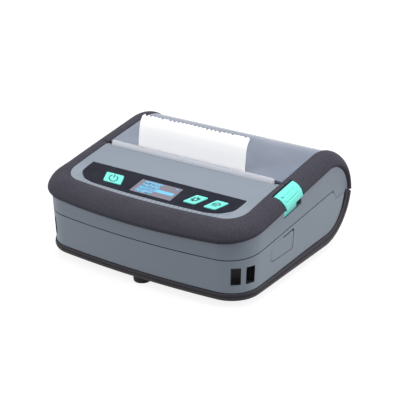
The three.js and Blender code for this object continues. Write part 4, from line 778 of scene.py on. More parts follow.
def makeDisplay(settings):
    finish, tree, shader = newMaterial("litDisplay")
    corner = (settings["halfWidth"] * toMetres, -settings["front"] * toMetres, 0.0)
    centred = addNode(tree, "ShaderNodeMapping", {"Vector": objectCoords(tree), "Location": corner})
    where = addNode(tree, "ShaderNodeSeparateXYZ", {"Vector": centred.outputs[0]}).outputs
    across = maths(tree, "DIVIDE", where["X"], 2 * settings["halfWidth"] * toMetres)
    along = maths(tree, "DIVIDE", where["Y"], (settings["back"] - settings["front"]) * toMetres)

    def area(low, high, start, end):
        return product(tree, band(tree, along, low, high, 0.012), band(tree, across, start, end, 0.01))

    column = maths(tree, "FLOOR", product(tree, across, settings["cells"]))
    line = maths(tree, "FLOOR", product(tree, along, settings["rows"] * 4))
    spot = addNode(tree, "ShaderNodeCombineXYZ", {"X": column, "Y": line})
    random = addNode(tree, "ShaderNodeTexWhiteNoise", {"Vector": spot.outputs[0]}, noise_dimensions="2D")
    marks = remap(tree, random.outputs["Value"], 0.3, 0.5)
    lit = area(*settings["lines"][0])
    for edges in settings["lines"][1:]:
        lit = maths(tree, "MAXIMUM", lit, area(*edges))
    row = maths(tree, "FRACT", product(tree, along, settings["rows"]))
    dashes = product(tree, lit, marks, band(tree, row, 0.2, 0.75, 0.08))
    bar = area(*settings["bar"])
    start = settings["bar"][2]
    barMarks = product(tree, band(tree, across, start, start + settings["barText"], 0.01), bar, marks)
    surface = settings["ground"]
    for mask, strength, colour in (
        (lit, settings["lit"], settings["glow"]), (dashes, settings["marks"], settings["ink"]),
        (bar, 1.0, settings["glow"]), (barMarks, settings["barMarks"], settings["ink"]),
    ):
        surface = mixColour(tree, product(tree, mask, strength), surface, colour)
    sheen = noise(tree, objectCoords(tree), 60.0, 2.0)
    feed(tree, shader, {
        "Base Color": surface, "Emission Color": surface, "Emission Strength": settings["strength"],
        "Roughness": remap(tree, sheen, 0.3, 0.7, 0.16, 0.24),
    })
    return finish


inkLook = {"colour": linear(24, 70, 72), "pits": 6000.0, "clouds": 90.0, "speckle": 0.3, "mottle": 0.2}


def makeInk(settings):
    finish, tree, shader = newMaterial("signInk")
    grain = grainOf(tree, settings)
    rough = maths(tree, "ADD", grain["Roughness Shift"], 0.5)
    feed(tree, shader, {"Base Color": grain["Colour"], "Roughness": rough})
    return finish


boardLook = {
    "mask": linear(28, 92, 58), "other": linear(24, 84, 52),
    "track": linear(60, 128, 86), "weave": linear(20, 66, 42),
}


def makeBoard(settings):
    finish, tree, shader = newMaterial("boardMask")
    coords = objectCoords(tree)
    tracks = addNode(tree, "ShaderNodeTexBrick", {
        "Vector": coords, "Color1": settings["mask"], "Color2": settings["other"], "Mortar": settings["track"],
        "Scale": 260.0, "Mortar Size": 0.05, "Brick Width": 0.9, "Row Height": 0.42,
    })
    weave = noise(tree, coords, 900.0, 2.0)
    dark = remap(tree, weave, 0.3, 0.7, 0.0, 0.25)
    feed(tree, shader, {
        "Base Color": mixColour(tree, dark, tracks.outputs["Color"], settings["weave"]),
        "Roughness": remap(tree, weave, 0.3, 0.7, 0.3, 0.42),
    })
    bumpFrom(tree, shader, tracks.outputs["Fac"], 0.2, 0.05)
    return finish


finishes.update({key: fibrous(*entry) for key, entry in fibreLooks.items()})
finishes.update({
    "deckGrey": makeDeckGrey(deckLook), "window": makeWindowPlastic(windowLook), "woundPaper": makeWoundPaper(roll),
    "display": makeDisplay(display), "ink": makeInk(inkLook), "board": makeBoard(boardLook),
})
print("finishes built")


# Case walls, cut along the seam with its hooked step near the rear

# soft, shade and depth: edge softness, colour and strength of the painted shade along the seam, which stops at
# seamEnd
walls = {
    "thickness": 2.4, "edge": 0.1, "tip": 59.1,
    "seam": 0.5, "seamEnd": 44, "soft": (0.1, 0.02), "shade": linear(24, 27, 34), "depth": 0.8,
}
latchZone = {
    "front": -19.2, "back": 1.3, "middle": -7, "x": 66.6, "skew": (0.25, 0.1), "taper": 0.6,
    "rimDepth": 10.2, "recess": 13.6, "over": 30,
}


def seamLine(shift):
    start = seamHeightAt(seam["hookY"])
    curve = smoothCurve(seam["shares"], 4)
    hook = [(seam["hookY"] + a * seam["length"], start + d * seam["drop"] + shift) for a, d in curve]
    return [(-far, seamHeightAt(-far) + shift)] + hook + [(far, partingZ - gap + shift)]


def underLatch(y, down):
    share = (y - latchZone["front"]) / (latchZone["back"] - latchZone["front"])
    y += (latchZone["skew"][0] * (1 - share) + latchZone["skew"][1] * share) * down
    return y, topHeight(latchZone["middle"]) - down + body["topSlope"] * (y - latchZone["middle"])


def latchPocket(depth):
    y0, y1 = latchZone["front"] - gap, latchZone["back"] + gap
    outline = [underLatch(y, down) for y, down in rectangle(y0, y1, depth, -latchZone["over"])]
    return barAlongX("pocket", outline, latchZone["x"], far)


def wallRing(station):
    top, innerTop = (railPoint(insetOutline(wallHigh, i), station, rimLowRail) for i in (0, walls["thickness"]))
    low, innerLow = (railPoint(insetOutline(wallLow, i), station, panelLowRail) for i in (0, walls["thickness"]))
    if station[0] == "arc":
        pull = Vector((0, rearY - top.y, rearZ - top.z)).normalized() * gap
        top, innerTop = top + pull, innerTop + pull
        pull.z *= -1
        low, innerLow = low + pull, innerLow + pull
    else:
        top.z = innerTop.z = railPoint(rimLow, station, rimLowRail).z - gap
        low.z += gap
        innerLow.z += gap
    return [low, top, innerTop, innerLow]


def fullWall(name):
    stations = arcStations(26) + sideStations(14, -34, 4) + frontStations()
    tip = barAlongX("tip", rectangle(walls["tip"], far, 0, partingZ + gap), -far, far)
    return cutWith(lofted(name, mirrorRings([wallRing(s) for s in stations])), [tip])


# shade, darkness, lap and darkFrom: colour, strength, overlap and starting reach of the painted shade inside the
# strap holes
strap = {
    "angles": (22.5, 50), "width": 5.8, "low": 14.8, "high": 25.4, "corner": 0.8, "reach": (13.6, 23.2),
    "shade": linear(8, 9, 14), "darkness": 0.93, "lap": 0.08, "darkFrom": 11,
}
flap = {
    "front": -28.9, "back": -3.3, "low": 19.6, "high": 31.9, "frontCorners": (5.2, 4.8), "corner": 1.6,
    "pry": (0.2, 1.2, 0.5), "gap": 0.28, "wall": 1.6, "edge": 0.35, "edgeStep": (0.12, -0.1), "notch": 1.15,
    "line": 1.5, "lineRise": 0.14, "lineSteps": [(0.18, 1), (0.45, 1), (0.63, 0), (1.6, 0)],
}


def strapCutters():
    x, y, endX, sweep = cornerOf(wallLow)
    cutters = []
    for side in (1, -1):
        for degrees in strap["angles"]:
            c, s = math.cos(math.radians(degrees)), -math.sin(math.radians(degrees))
            half = strap["width"] / 2
            outline = roundedPolygon(rectangle(-half, half, strap["low"], strap["high"]), strap["corner"])
            cutters.append(lofted("strapCut", [
                [(side * (x + radius * c - u * s), y + radius * s + u * c, z) for u, z in outline]
                for radius in strap["reach"]
            ]))
    return cutters


def flapOutline(inset, notch=0.0):
    middle = (flap["front"] + flap["back"]) / 2
    y0, y1, z0 = flap["front"] + inset, flap["back"] - inset, flap["low"] + inset
    low, high = flap["frontCorners"]

    def top(y):
        return flap["high"] + seam["slope"] * (y - middle) - inset

    corners = [(y1, z0, flap["corner"]), (y1, top(y1) - notch, flap["corner"])]
    if notch:
        near, wide, corner = flap["pry"]
        corners += [(middle + wide, top(middle + wide) - notch, corner), (middle + near, top(middle + near), corner)]
    corners += [(y0, top(y0), high), (y0, z0, low)]
    return roundedPolygon([(y, z) for y, z, r in corners], [r for y, z, r in corners], 6)


bosses = {
    "x": 64, "rows": (-35, 20), "radius": 3.5, "low": 9.3, "high": 18, "web": 2, "webLow": 13, "webHigh": 17.95,
    "reach": 70.3, "bore": 1.6, "boreEnds": (4, 15.3),
}


def caseBosses():
    parts, bores = [], []
    for side in (1, -1):
        for y in bosses["rows"]:
            centre = (side * bosses["x"], y)
            x0, x1 = sorted((side * bosses["x"], side * bosses["reach"]))
            web = rectangle(x0, x1, y - bosses["web"], y + bosses["web"])
            parts.append(rodAlong("boss", "Z", bosses["radius"], bosses["low"], bosses["high"], centre))
            parts.append(barAlongZ("web", web, bosses["webLow"], bosses["webHigh"]))
            bores.append(rodAlong("bore", "Z", bosses["bore"], *bosses["boreEnds"], centre))
    return parts, bores


# Painted shade laid over a finish: a dark line along the seam gap and dark strap holes, where the wall has them
def withPaintedShade(finish, masks):
    tree = finish.node_tree
    base = tree.nodes["Principled BSDF"].inputs["Base Color"]
    surface = base.links[0].from_socket
    for mask, colour in masks(tree, objectPlace(tree)):
        surface = mixColour(tree, mask, surface, colour)
    tree.links.new(surface, base)
    return finish


# Painted shade in the seam gap: the wall is darkened in a thin band along the seam line
def seamShadeMasks(tree, where):
    line = maths(tree, "MULTIPLY_ADD", where["Y"], seam["slope"], seam["height"] * toMetres)
    near = maths(tree, "ABSOLUTE", difference(tree, where["Z"], line))
    mask = between(tree, near, [walls["seam"] / 2 + soft for soft in walls["soft"]])
    front = maths(tree, "LESS_THAN", where["Y"], walls["seamEnd"] * toMetres)
    return [(product(tree, mask, front, walls["depth"]), walls["shade"])]


# Painted shade inside the strap holes: their cut walls are darkened where they reach past darkFrom
def strapHoleShadeMasks(tree, where):
    x, y, endX, sweep = cornerOf(wallLow)
    dx = difference(tree, maths(tree, "ABSOLUTE", where["X"]), x * toMetres)
    dy = difference(tree, where["Y"], y * toMetres)
    tall = maths(tree, "ABSOLUTE", difference(tree, where["Z"], (strap["low"] + strap["high"]) / 2 * toMetres))
    halfHeight, halfWidth = ((size + strap["lap"]) / 2 for size in (strap["high"] - strap["low"], strap["width"]))
    inHeight = maths(tree, "LESS_THAN", tall, halfHeight * toMetres)
    masks = []
    for degrees in strap["angles"]:
        s, c = math.sin(math.radians(degrees)), math.cos(math.radians(degrees))
        aside = maths(tree, "ABSOLUTE", maths(tree, "MULTIPLY_ADD", dx, s, product(tree, dy, c)))
        reach = difference(tree, product(tree, dx, c), product(tree, dy, s))
        inWidth = maths(tree, "LESS_THAN", aside, halfWidth * toMetres)
        deep = maths(tree, "GREATER_THAN", reach, strap["darkFrom"] * toMetres)
        masks.append((product(tree, inWidth, deep, inHeight, strap["darkness"]), strap["shade"]))
    return masks


bossParts, bossBores = caseBosses()
aboveSeam = barAlongX("above", seamLine(-walls["seam"] / 2) + [(far, far), (-far, far)], -far, far)
flapHole = barAlongX("flapHole", flapOutline(0), 67, far)
lowerCase = joinPieces("lowerCase", [fullWall("lowerWall")] + bossParts)
cutWith(lowerCase, [aboveSeam, flapHole] + strapCutters() + bossBores, merge=True)
# The lower case's finish gets painted shade in its strap holes and along the seam
caseFinish = withPaintedShade(withPaintedShade(finishes["caseGrey"], strapHoleShadeMasks), seamShadeMasks)
place(bevelled(lowerCase, walls["edge"]), "case", caseFinish, ["lower_case"], "case_grey")
print("lower case built")


# Upper case: walls above the seam, the shoulder under the rim, and the deck

deck = {"rear": -6.5, "wall": 2.2, "steps": 12, "row": 3, "edge": 0.12}
shoulder = {"wall": 1.8, "inset": 2.7, "lap": 2.5, "flange": 3.4, "flangeTop": 0.4}
rimCrown = -0.1
fineRim = [(across, max(down, rimCrown)) for across, down in smoothCurve(rimShares, 5)]


def shoulderRing(station):
    placement = rimFrame(station)
    topInset = shoulder["inset"]
    lowInset = topInset + shoulder["wall"]
    outer = curvePoints(placement, rimShares[2:], topInset, topInset, True)
    inner = curvePoints(placement, rimShares[2:], lowInset, lowInset, False)
    wall = (railPoint(wallHigh, station, rimLowRail) - placement[0]).dot(placement[1]) - gap
    lap = placement[4] + shoulder["lap"]
    edge, top = -shoulder["flange"], shoulder["flangeTop"]
    flange = [(edge, lowInset), (edge, top), (-gap, top), (-gap, topInset)]
    return placed(placement, flange + outer + [(wall, lap), (wall - walls["thickness"], lap)] + inner)


def outlineHalf(outline, inset, rearEnd):
    inner = insetOutline(outline, inset)
    return [(inner[0], rearEnd)] + [planPoint(inner, s) for s in frontStations()]


def slopingSkin(name, half, low, high):
    rows = []
    for (x0, y0), (x1, y1) in zip(half, half[1:]):
        parts = max(1, round((y0 - y1) / deck["row"]))
        rows += [(x0 + (x1 - x0) * k / parts, y0 + (y1 - y0) * k / parts) for k in range(parts)]
    rows.append(half[-1])
    rings = []
    for x, y in rows:
        across = [x * (1 - 2 * k / deck["steps"]) for k in range(deck["steps"] + 1)]
        top = topHeight(y)
        rings.append([(a, y, top + high) for a in across] + [(a, y, top + low) for a in across[::-1]])
    return lofted(name, rings)


panel = {
    "front": -44.5, "back": -35, "shift": 3.9, "corner": 1.0, "holeCorner": 1.2, "cut": (-6, 6),
    "proud": 0.5, "bottom": 3.4, "lip": 0.8, "lipTop": 2.65, "glass": (-0.8, -0.1),
}
keys = [
    {"node": "power_button", "body": "power_key", "sign": "power_keySign", "x": -31.19, "width": 13.6, "lean": -1},
    {"node": "settings_button", "body": "settings_key", "sign": "settingsSign", "x": 28.08, "width": 8.6, "lean": 1},
    {"node": "feed_button", "body": "feed_key", "sign": "feed_keySign", "x": 42.1, "width": 8.6, "lean": 1},
]
panelY = (panel["front"] + panel["back"]) / 2
panelTilt = math.atan((topHeight(panel["back"]) - topHeight(panel["front"])) / (panel["back"] - panel["front"]))


def onPanel(x, y, level):
    flat = (y - panelY) / math.cos(panelTilt)
    c, s = math.cos(panelTilt), math.sin(panelTilt)
    return Vector((x, panelY + flat * c - level * s, topHeight(panelY) + flat * s + level * c))


def panelBlock(name, outline, levels):
    return lofted(name, [[onPanel(x, y, level) for x, y in outline] for level in levels])


def keyOutline(key, inset, corner):
    half = key["width"] / 2 - inset
    lean = key["lean"] * panel["shift"] / 2
    outline = rectangle(key["x"] - half, key["x"] + half, panel["front"] + inset, panel["back"] - inset)
    return roundedPolygon([(x + (lean if y > panelY else -lean), y) for x, y in outline], corner, 5)


def displayOutline(grow, corner):
    half = display["halfWidth"] + grow
    return roundedPolygon(rectangle(-half, half, display["front"] - grow, display["back"] + grow), corner, 4)


overlay = {"back": -28.5, "front": -49.4, "half": 55.5, "wall": 0.8, "strip": 3.3, "bow": 0.6, "seat": (-1.1, 2)}
overlayShares = [(1, 0), (1, -0.28), (0.985, -0.58), (0.93, -0.77), (0.85, -0.92), (0.72, -1)]


def overlayHalf(grow):
    depth = overlay["back"] - overlay["front"]
    curve = smoothCurve(overlayShares, 6)
    points = []
    for across, along in curve:
        x = across * overlay["half"] + grow
        bow = rimInner[2] * (x / rimInner[0]) ** 2 * min(1, -along)
        points.append((x, overlay["back"] + along * depth + bow * overlay["bow"] - grow))
    last = points[-1]

    def edge(x):
        return -rimInner[1] + overlay["strip"] + rimInner[2] * (x / rimInner[0]) ** 2 - grow

    lift = last[1] - edge(last[0])
    shares = [1 - k / 10 for k in range(1, 11)]
    return points + [(last[0] * share, edge(last[0] * share) + lift * share ** 2) for share in shares]


def overlaySkin(name, grow, low, high):
    half = overlayHalf(grow)
    half[0] = (half[0][0], overlay["back"] + grow)
    return slopingSkin(name, half, low, high)


def panelHoles(keyGrow, displayGrow, corner=0.0):
    outlines = [keyOutline(key, -keyGrow, panel["holeCorner"] + keyGrow) for key in keys]
    keyHoles = [panelBlock("keyHole", outline, panel["cut"]) for outline in outlines]
    return panelBlock("displayHole", displayOutline(displayGrow, corner), panel["cut"]), keyHoles


wallPart = fullWall("upperWall")
shoulderStations = sideStations(partingY - gap / 2, -32, 8) + frontStations()
shoulderPart = lofted("shoulder", mirrorRings([shoulderRing(s) for s in shoulderStations]))
deckPlate = slopingSkin("deckPlate", outlineHalf(rimInner, gap, deck["rear"]), -deck["wall"], 0)
belowSeam = barAlongX("below", seamLine(walls["seam"] / 2) + [(far, -far), (-far, -far)], -far, far)
upperCase = joinPieces("upperCase", [wallPart, shoulderPart, deckPlate])
displayHole, keyHoles = panelHoles(0, -1.2)
overlaySeat = overlaySkin("seat", gap, *overlay["seat"])
latchRecess = latchPocket(latchZone["recess"])
cutWith(upperCase, [belowSeam, latchRecess, displayHole, overlaySeat] + keyHoles, merge=True)
# The deck's finish gets painted shade along the seam
deckFinish = withPaintedShade(finishes["deckGrey"], seamShadeMasks)
place(bevelled(upperCase, deck["edge"]), "case", deckFinish, ["upper_case"], "deck_grey")
print("upper case built")


# Dark bumper round the front, and the lid's frame that carries its line to the rear

rim = {
    "wall": 2.4, "innerEdge": 0.35, "lowEdge": 0.6, "ledge": 1.6, "ledgeWall": 1.8, "window": 2.0, "parting": 0.35,
    "bevel": (0.2, 2, 55),
}
lid = {
    "hinge": (65.8, 36), "pin": 1.0, "pinHalf": 61.7, "knuckle": 2.5, "lift": 0.12,
    "barAngles": (3.02, 34.95), "barRadii": (30.38, 28.0), "barHalf": 63.8, "frontHalf": 62.6,
    "baseKnuckles": ((-60, -52), (-28, 28), (52, 60)), "knuckles": ((-50, -30), (30, 50)),
    "free": ((-far, -50.5), (-29.5, 29.5), (50.5, far)),
    "frontBar": (8.4, 13.9, 53), "frontDrop": 2.3, "platen": (2.9, 50.8), "bush": 2.9, "bushHalf": 57.4,
    "cheekX": (55.2, 57), "cheek": 3.5, "cheekSide": [(2.9, 47.4), (13.3, 52.4), (13.3, 54.2), (2.9, 54.2)],
}


def rimRing(station, onLid):
    placement = rimFrame(station)
    outer = curvePoints(placement, fineRim, 0, 0, True)
    if onLid:
        inner = curvePoints(placement, rimShares[2:], rim["wall"], rim["wall"], False)
        seat = rim["window"] + gap
        under = seat + rim["ledgeWall"]
        inner += [(0, under), (-rim["ledge"], under), (-rim["ledge"], seat), (0, seat)]
    else:
        inner = curvePoints(placement, rimShares[:1] + rimShares[2:], rim["wall"], rim["wall"], False)
    points = outer + inner
    radii = [0] * len(points)
    radii[0] = rim["innerEdge"]
    radii[len(outer) - 1] = rim["lowEdge"]
    return placed(placement, roundedPolygon(points, radii, 3))


bumperStations = sideStations(partingY - rim["parting"], -32, 8) + frontStations(18, 14)
bumper = lofted("frontBumper", mirrorRings([rimRing(s, False) for s in bumperStations]))
cutWith(bumper, [latchPocket(latchZone["rimDepth"])])
place(bevelled(bumper, *rim["bevel"]), "case", finishes["rimCharcoal"], ["front_bumper"], "rim_charcoal")


def arcPoints(radius, fromAngle, toAngle, steps):
    angles = [math.radians(fromAngle + (toAngle - fromAngle) * i / steps) for i in range(steps + 1)]
    return [(rearY + radius * math.cos(a), rearZ + radius * math.sin(a)) for a in angles]


def mirroredCopy(part):
    mesh = part.data.copy()
    mesh.transform(Matrix.Scale(-1, 4, (1, 0, 0)))
    mesh.flip_normals()
    twin = bpy.data.objects.new(part.name + "Left", mesh)
    bpy.context.scene.collection.objects.link(twin)
    return twin


def lidFrameParts():
    stations = arcStations(40) + sideStations(30, partingY + rim["parting"], 6)
    arm = lofted("arm", [rimRing(s, True) for s in stations])
    (low, high), (outer, inner) = lid["barAngles"], lid["barRadii"]
    rearLine = arcPoints(outer, low, high, 12) + arcPoints(inner, high, low, 12)
    rear = barAlongX("rearBar", rearLine, -lid["barHalf"], lid["barHalf"])
    y0, y1, z0 = lid["frontBar"]
    frontLine = [(y0, z0), (y1, z0)] + [(y, topLine(y, lid["frontDrop"])) for y in (y1, y0)]
    front = barAlongX("frontBar", frontLine, -lid["frontHalf"], lid["frontHalf"])
    cheeks = []
    for side in (1, -1):
        x0, x1 = sorted((side * lid["cheekX"][0], side * lid["cheekX"][1]))
        cheeks.append(rodAlong("cheekRound", "X", lid["cheek"], x0, x1, lid["platen"]))
        cheeks.append(barAlongX("cheek", lid["cheekSide"], x0 + 0.02, x1 - 0.02))
    knuckles = [rodAlong("knuckle", "X", lid["knuckle"], x0, x1, lid["hinge"]) for x0, x1 in lid["knuckles"]]
    return [arm, mirroredCopy(arm), rear, front] + cheeks + knuckles


def lidFrameCuts():
    below = rectangle(rearY, far, 0, partingZ + lid["lift"])
    reliefs = [(lid["knuckle"] + gap, x0 - gap, x1 + gap, lid["hinge"]) for x0, x1 in lid["baseKnuckles"]]
    pinBore = (lid["pin"] + gap, -lid["pinHalf"] - gap, lid["pinHalf"] + gap, lid["hinge"])
    bushBore = (lid["bush"], -lid["bushHalf"], lid["bushHalf"], lid["platen"])
    cuts = [latchPocket(latchZone["rimDepth"])] + [barAlongX("belowLid", below, *ends) for ends in lid["free"]]
    cuts += [rodAlong("lidBore", "X", *bore, 0.05) for bore in reliefs + [pinBore, bushBore]]
    return cuts


lidFrame = cutWith(joinPieces("lidFrame", lidFrameParts()), lidFrameCuts(), merge=True)
place(bevelled(lidFrame, *rim["bevel"]), "lid", finishes["rimCharcoal"], ["lid_frame"], "rim_charcoal")

windowPlan = {"front": -1.6, "halfWidth": 62.9, "wall": 2.0, "start": 35.52, "edge": 0.35}


def windowPane():
    end = 90 + math.degrees(math.atan(body["topSlope"]))
    start, front = windowPlan["start"], windowPlan["front"]
    outer = arcPoints(body["rearRadius"], start, end, 30) + [(front, topLine(front))]
    inner = [(front, topLine(front, windowPlan["wall"]))]
    inner += arcPoints(body["rearRadius"] - windowPlan["wall"], end, start, 30)
    return barAlongX("lidWindow", outer + inner, -windowPlan["halfWidth"], windowPlan["halfWidth"])


place(bevelled(windowPane(), windowPlan["edge"], 3, 50), "lid", finishes["window"], ["lid_window"], "smoky_window")
print("rim and lid built")


# Control panel

overlayPiece = overlaySkin("controlOverlay", 0, -overlay["wall"], 0)
displayHole, keyHoles = panelHoles(-0.05, 0.02, 0.3)
cutWith(overlayPiece, keyHoles + [displayHole])
place(bevelled(overlayPiece, 0.12, 2, 50), "case", finishes["overlay"], ["control_overlay"], "overlay_navy")

glass = panelBlock("displayGlass", displayOutline(-0.25, 0.25), panel["glass"])
place(bevelled(glass, 0.08, 1, 50), "case", finishes["display"], ["display_lens"], "screen")


def arcBand(outer, inner, fromAngle, toAngle, steps, lift):
    band = []
    for radius, order in ((outer, 1), (inner, -1)):
        angles = [math.radians(fromAngle + (toAngle - fromAngle) * k / steps) for k in range(steps + 1)][::order]
        band += [(radius * math.cos(a), lift + radius * math.sin(a)) for a in angles]
    return band


sign = {
    "ring": (3.4, 2.6, 124, 416, 34, -0.3), "stroke": (-0.42, 0.42, 0.2, 3.5),
    "gear": (2.7, 2.7, 2.0, 2.0), "gearTeeth": 8, "eye": 0.95,
    "bars": (-1.2, 0, 1.2), "bar": (-0.34, 0.34, -1.9, 0.7), "bow": (2.8, 2.1, 5, 175, 20, -0.6),
    "levels": (-0.035, 0.025), "eyeCut": (-1, 2),
}


def signOutlines(kind):
    if kind == "power_button":
        return [arcBand(*sign["ring"]), rectangle(*sign["stroke"])]
    if kind == "settings_button":
        radii = sign["gear"] * sign["gearTeeth"]
        turns = [2 * math.pi * (k + 0.5) / len(radii) for k in range(len(radii))]
        return [[(radius * math.cos(turn), radius * math.sin(turn)) for radius, turn in zip(radii, turns)]]
    x0, x1, y0, y1 = sign["bar"]
    return [rectangle(x + x0, x + x1, y0, y1) for x in sign["bars"]] + [arcBand(*sign["bow"])]


def signPiece(key):
    parts = []
    levels = [panel["proud"] + level for level in sign["levels"]]
    lean = key["lean"] * panel["shift"] / (panel["back"] - panel["front"])
    for outline in signOutlines(key["node"]):
        parts.append(panelBlock("sign", [(key["x"] + x + lean * y, panelY + y) for x, y in outline], levels))
    piece = joinPieces(key["sign"], parts)
    if key["node"] == "settings_button":
        cutWith(piece, [panelBlock("eye", circle(sign["eye"], key["x"], panelY), sign["eyeCut"])])
    return piece


for key in keys:
    cap = panelBlock("cap", keyOutline(key, 0.25, panel["corner"]), (-panel["bottom"], panel["proud"]))
    lipLevels = (-panel["bottom"] + 0.02, -panel["lipTop"])
    keyLip = panelBlock("lip", keyOutline(key, -panel["lip"], panel["corner"]), lipLevels)
    capPiece = joinPieces(key["body"] + "Cap", [bevelled(cap, 0.28, 3, 50), keyLip])
    place(capPiece, key["body"], finishes["teal"], [key["node"]], "teal")
    place(signPiece(key), key["body"], finishes["ink"])
print("control panel built")


# Tear bar with its fine teeth, set along its edge by Geometry Nodes

tear = {
    "half": 59.1, "front": -6.1, "rear": -3.8, "low": 54.8, "top": 61.0, "slope": (58.1, -4.9),
    "teeth": 98, "toothHeight": 0.3, "toothDepth": 0.7, "toothLine": -4.25, "margin": 1.2, "sunk": 0.02,
}


def newGeometryTree(name, inputs):
    tree = bpy.data.node_groups.new(name, "GeometryNodeTree")
    for label, kind in {"Geometry": "Geometry", **inputs, "Finish": "Material"}.items():
        tree.interface.new_socket(label, in_out="INPUT", socket_type="NodeSocket" + kind)
    tree.interface.new_socket("Geometry", in_out="OUTPUT", socket_type="NodeSocketGeometry")
    return tree, tree.nodes.new("NodeGroupInput").outputs


def endTree(tree, geometry, given):
    realize = addNode(tree, "GeometryNodeRealizeInstances", {"Geometry": geometry})
    inputs = {"Geometry": realize.outputs[0], "Material": given["Finish"]}
    dressed = addNode(tree, "GeometryNodeSetMaterial", inputs)
    feed(tree, tree.nodes.new("NodeGroupOutput"), {0: dressed.outputs[0]})


def joined(tree, *parts):
    node = tree.nodes.new("GeometryNodeJoinGeometry")
    for part in parts:
        tree.links.new(part, node.inputs[0])
    return node.outputs[0]


def moved(tree, geometry, **inputs):
    return addNode(tree, "GeometryNodeTransform", {"Geometry": geometry, **inputs}).outputs[0]


def without(tree, whole, cutter):
    node = addNode(tree, "GeometryNodeMeshBoolean", {"Mesh 1": whole}, operation="DIFFERENCE")
    return feed(tree, node, {"Mesh 2": cutter}).outputs["Mesh"]


def sized(tree, **inputs):
    return addNode(tree, "ShaderNodeCombineXYZ", inputs).outputs[0]


def generated(name, tree, values, points=((0, 0, 0),)):
    mesh = bpy.data.meshes.new(name)
    mesh.from_pydata([tuple(c * toMetres for c in p) for p in points], [], [])
    piece = bpy.data.objects.new(name, mesh)
    bpy.context.scene.collection.objects.link(piece)
    maker = piece.modifiers.new("maker", "NODES")
    maker.node_group = tree
    for item in tree.interface.items_tree:
        if item.in_out == "INPUT" and item.name in values:
            maker[item.identifier] = values[item.name]
    return applyModifiers(piece)


teethTree, given = newGeometryTree("tearTeeth", {
    "Count": "Int", "Start": "Vector", "Step": "Vector", "Width": "Float", "Height": "Float", "Depth": "Float",
})
row = addNode(teethTree, "GeometryNodeMeshLine", {
    "Count": given["Count"], "Start Location": given["Start"], "Offset": given["Step"],
})
pyramid = {"Vertices": 4, "Radius Top": 0.06, "Radius Bottom": 0.7071, "Depth": 1.0}
tooth = addNode(teethTree, "GeometryNodeMeshCone", pyramid).outputs["Mesh"]
onRow = addNode(teethTree, "GeometryNodeInstanceOnPoints", {
    "Points": row.outputs[0], "Instance": moved(teethTree, tooth, Rotation=(0.0, 0.0, math.pi / 4)),
    "Scale": sized(teethTree, X=given["Width"], Y=given["Depth"], Z=given["Height"]),
})
endTree(teethTree, onRow.outputs[0], given)

tearShelf = tear["top"] - tear["toothHeight"]
slopeLow, slopeEnd = tear["slope"]
tearProfile = [
    (tear["front"], tear["low"]), (tear["front"], slopeLow), (slopeEnd, tearShelf), (tear["rear"], tearShelf),
    (tear["rear"], tear["low"]),
]
tearBody = bevelled(barAlongX("tearBody", tearProfile, -tear["half"], tear["half"]), 0.4, 3, 30)
toothPitch = 2 * (tear["half"] - tear["margin"]) / tear["teeth"]
firstTooth = (
    -tear["half"] + tear["margin"] + toothPitch / 2, tear["toothLine"],
    tearShelf + tear["toothHeight"] / 2 - tear["sunk"],
)
teeth = generated("tearTeeth", teethTree, {
    "Count": tear["teeth"], "Start": tuple(c * toMetres for c in firstTooth),
    "Step": (toothPitch * toMetres, 0.0, 0.0),
    "Width": toothPitch * toMetres, "Height": tear["toothHeight"] * toMetres, "Depth": tear["toothDepth"] * toMetres,
    "Finish": finishes["frosted"],
})
place(joinPieces("tearBar", [tearBody, teeth]), "case", finishes["frosted"], ["tear_bar"], "frosted_bar")


# Sheet of paper, from the roll past the head to its torn end

sheet = {
    "x0": -40.35, "x1": 37.65, "thickness": 0.16, "across": 104, "toothDepth": 1.35, "tears": (0.3, 1.15),
    "bend": (-2.6, 47), "bendRadius": 2.5, "straight": (-2.6, 50), "wound": 20.3,
    "path": [(-2.6, 57), (-2.3, 62.5), (-1.6, 70), (-0.1, 76), (3.0, 79.75)],
    "toothZone": 1.9, "curl": 0.5, "curlFrom": 62, "curlOver": 18, "curlMiddle": 0.35, "ripple": (0.12, 5, 1.3),
}


def sheetPath():
    bend, centre = np.array(sheet["bend"]), np.array(roll["centre"])
    away = bend - centre
    turn = math.atan2(away[1], away[0])
    turn += math.acos((sheet["wound"] + sheet["thickness"] / 2) / math.hypot(*away))
    start = centre + (sheet["wound"] + sheet["thickness"] / 2) * np.array([math.cos(turn), math.sin(turn)])
    straight = [tuple(start + (bend - start) * k / 6) for k in range(5)]
    corner = [start * 0.3 + bend * 0.7, sheet["bend"], sheet["straight"]]
    return (
        straight + roundedPolygon(corner, [0, sheet["bendRadius"], 0], 5)[1:-1]
        + smoothCurve([sheet["straight"]] + sheet["path"], 7)
    )


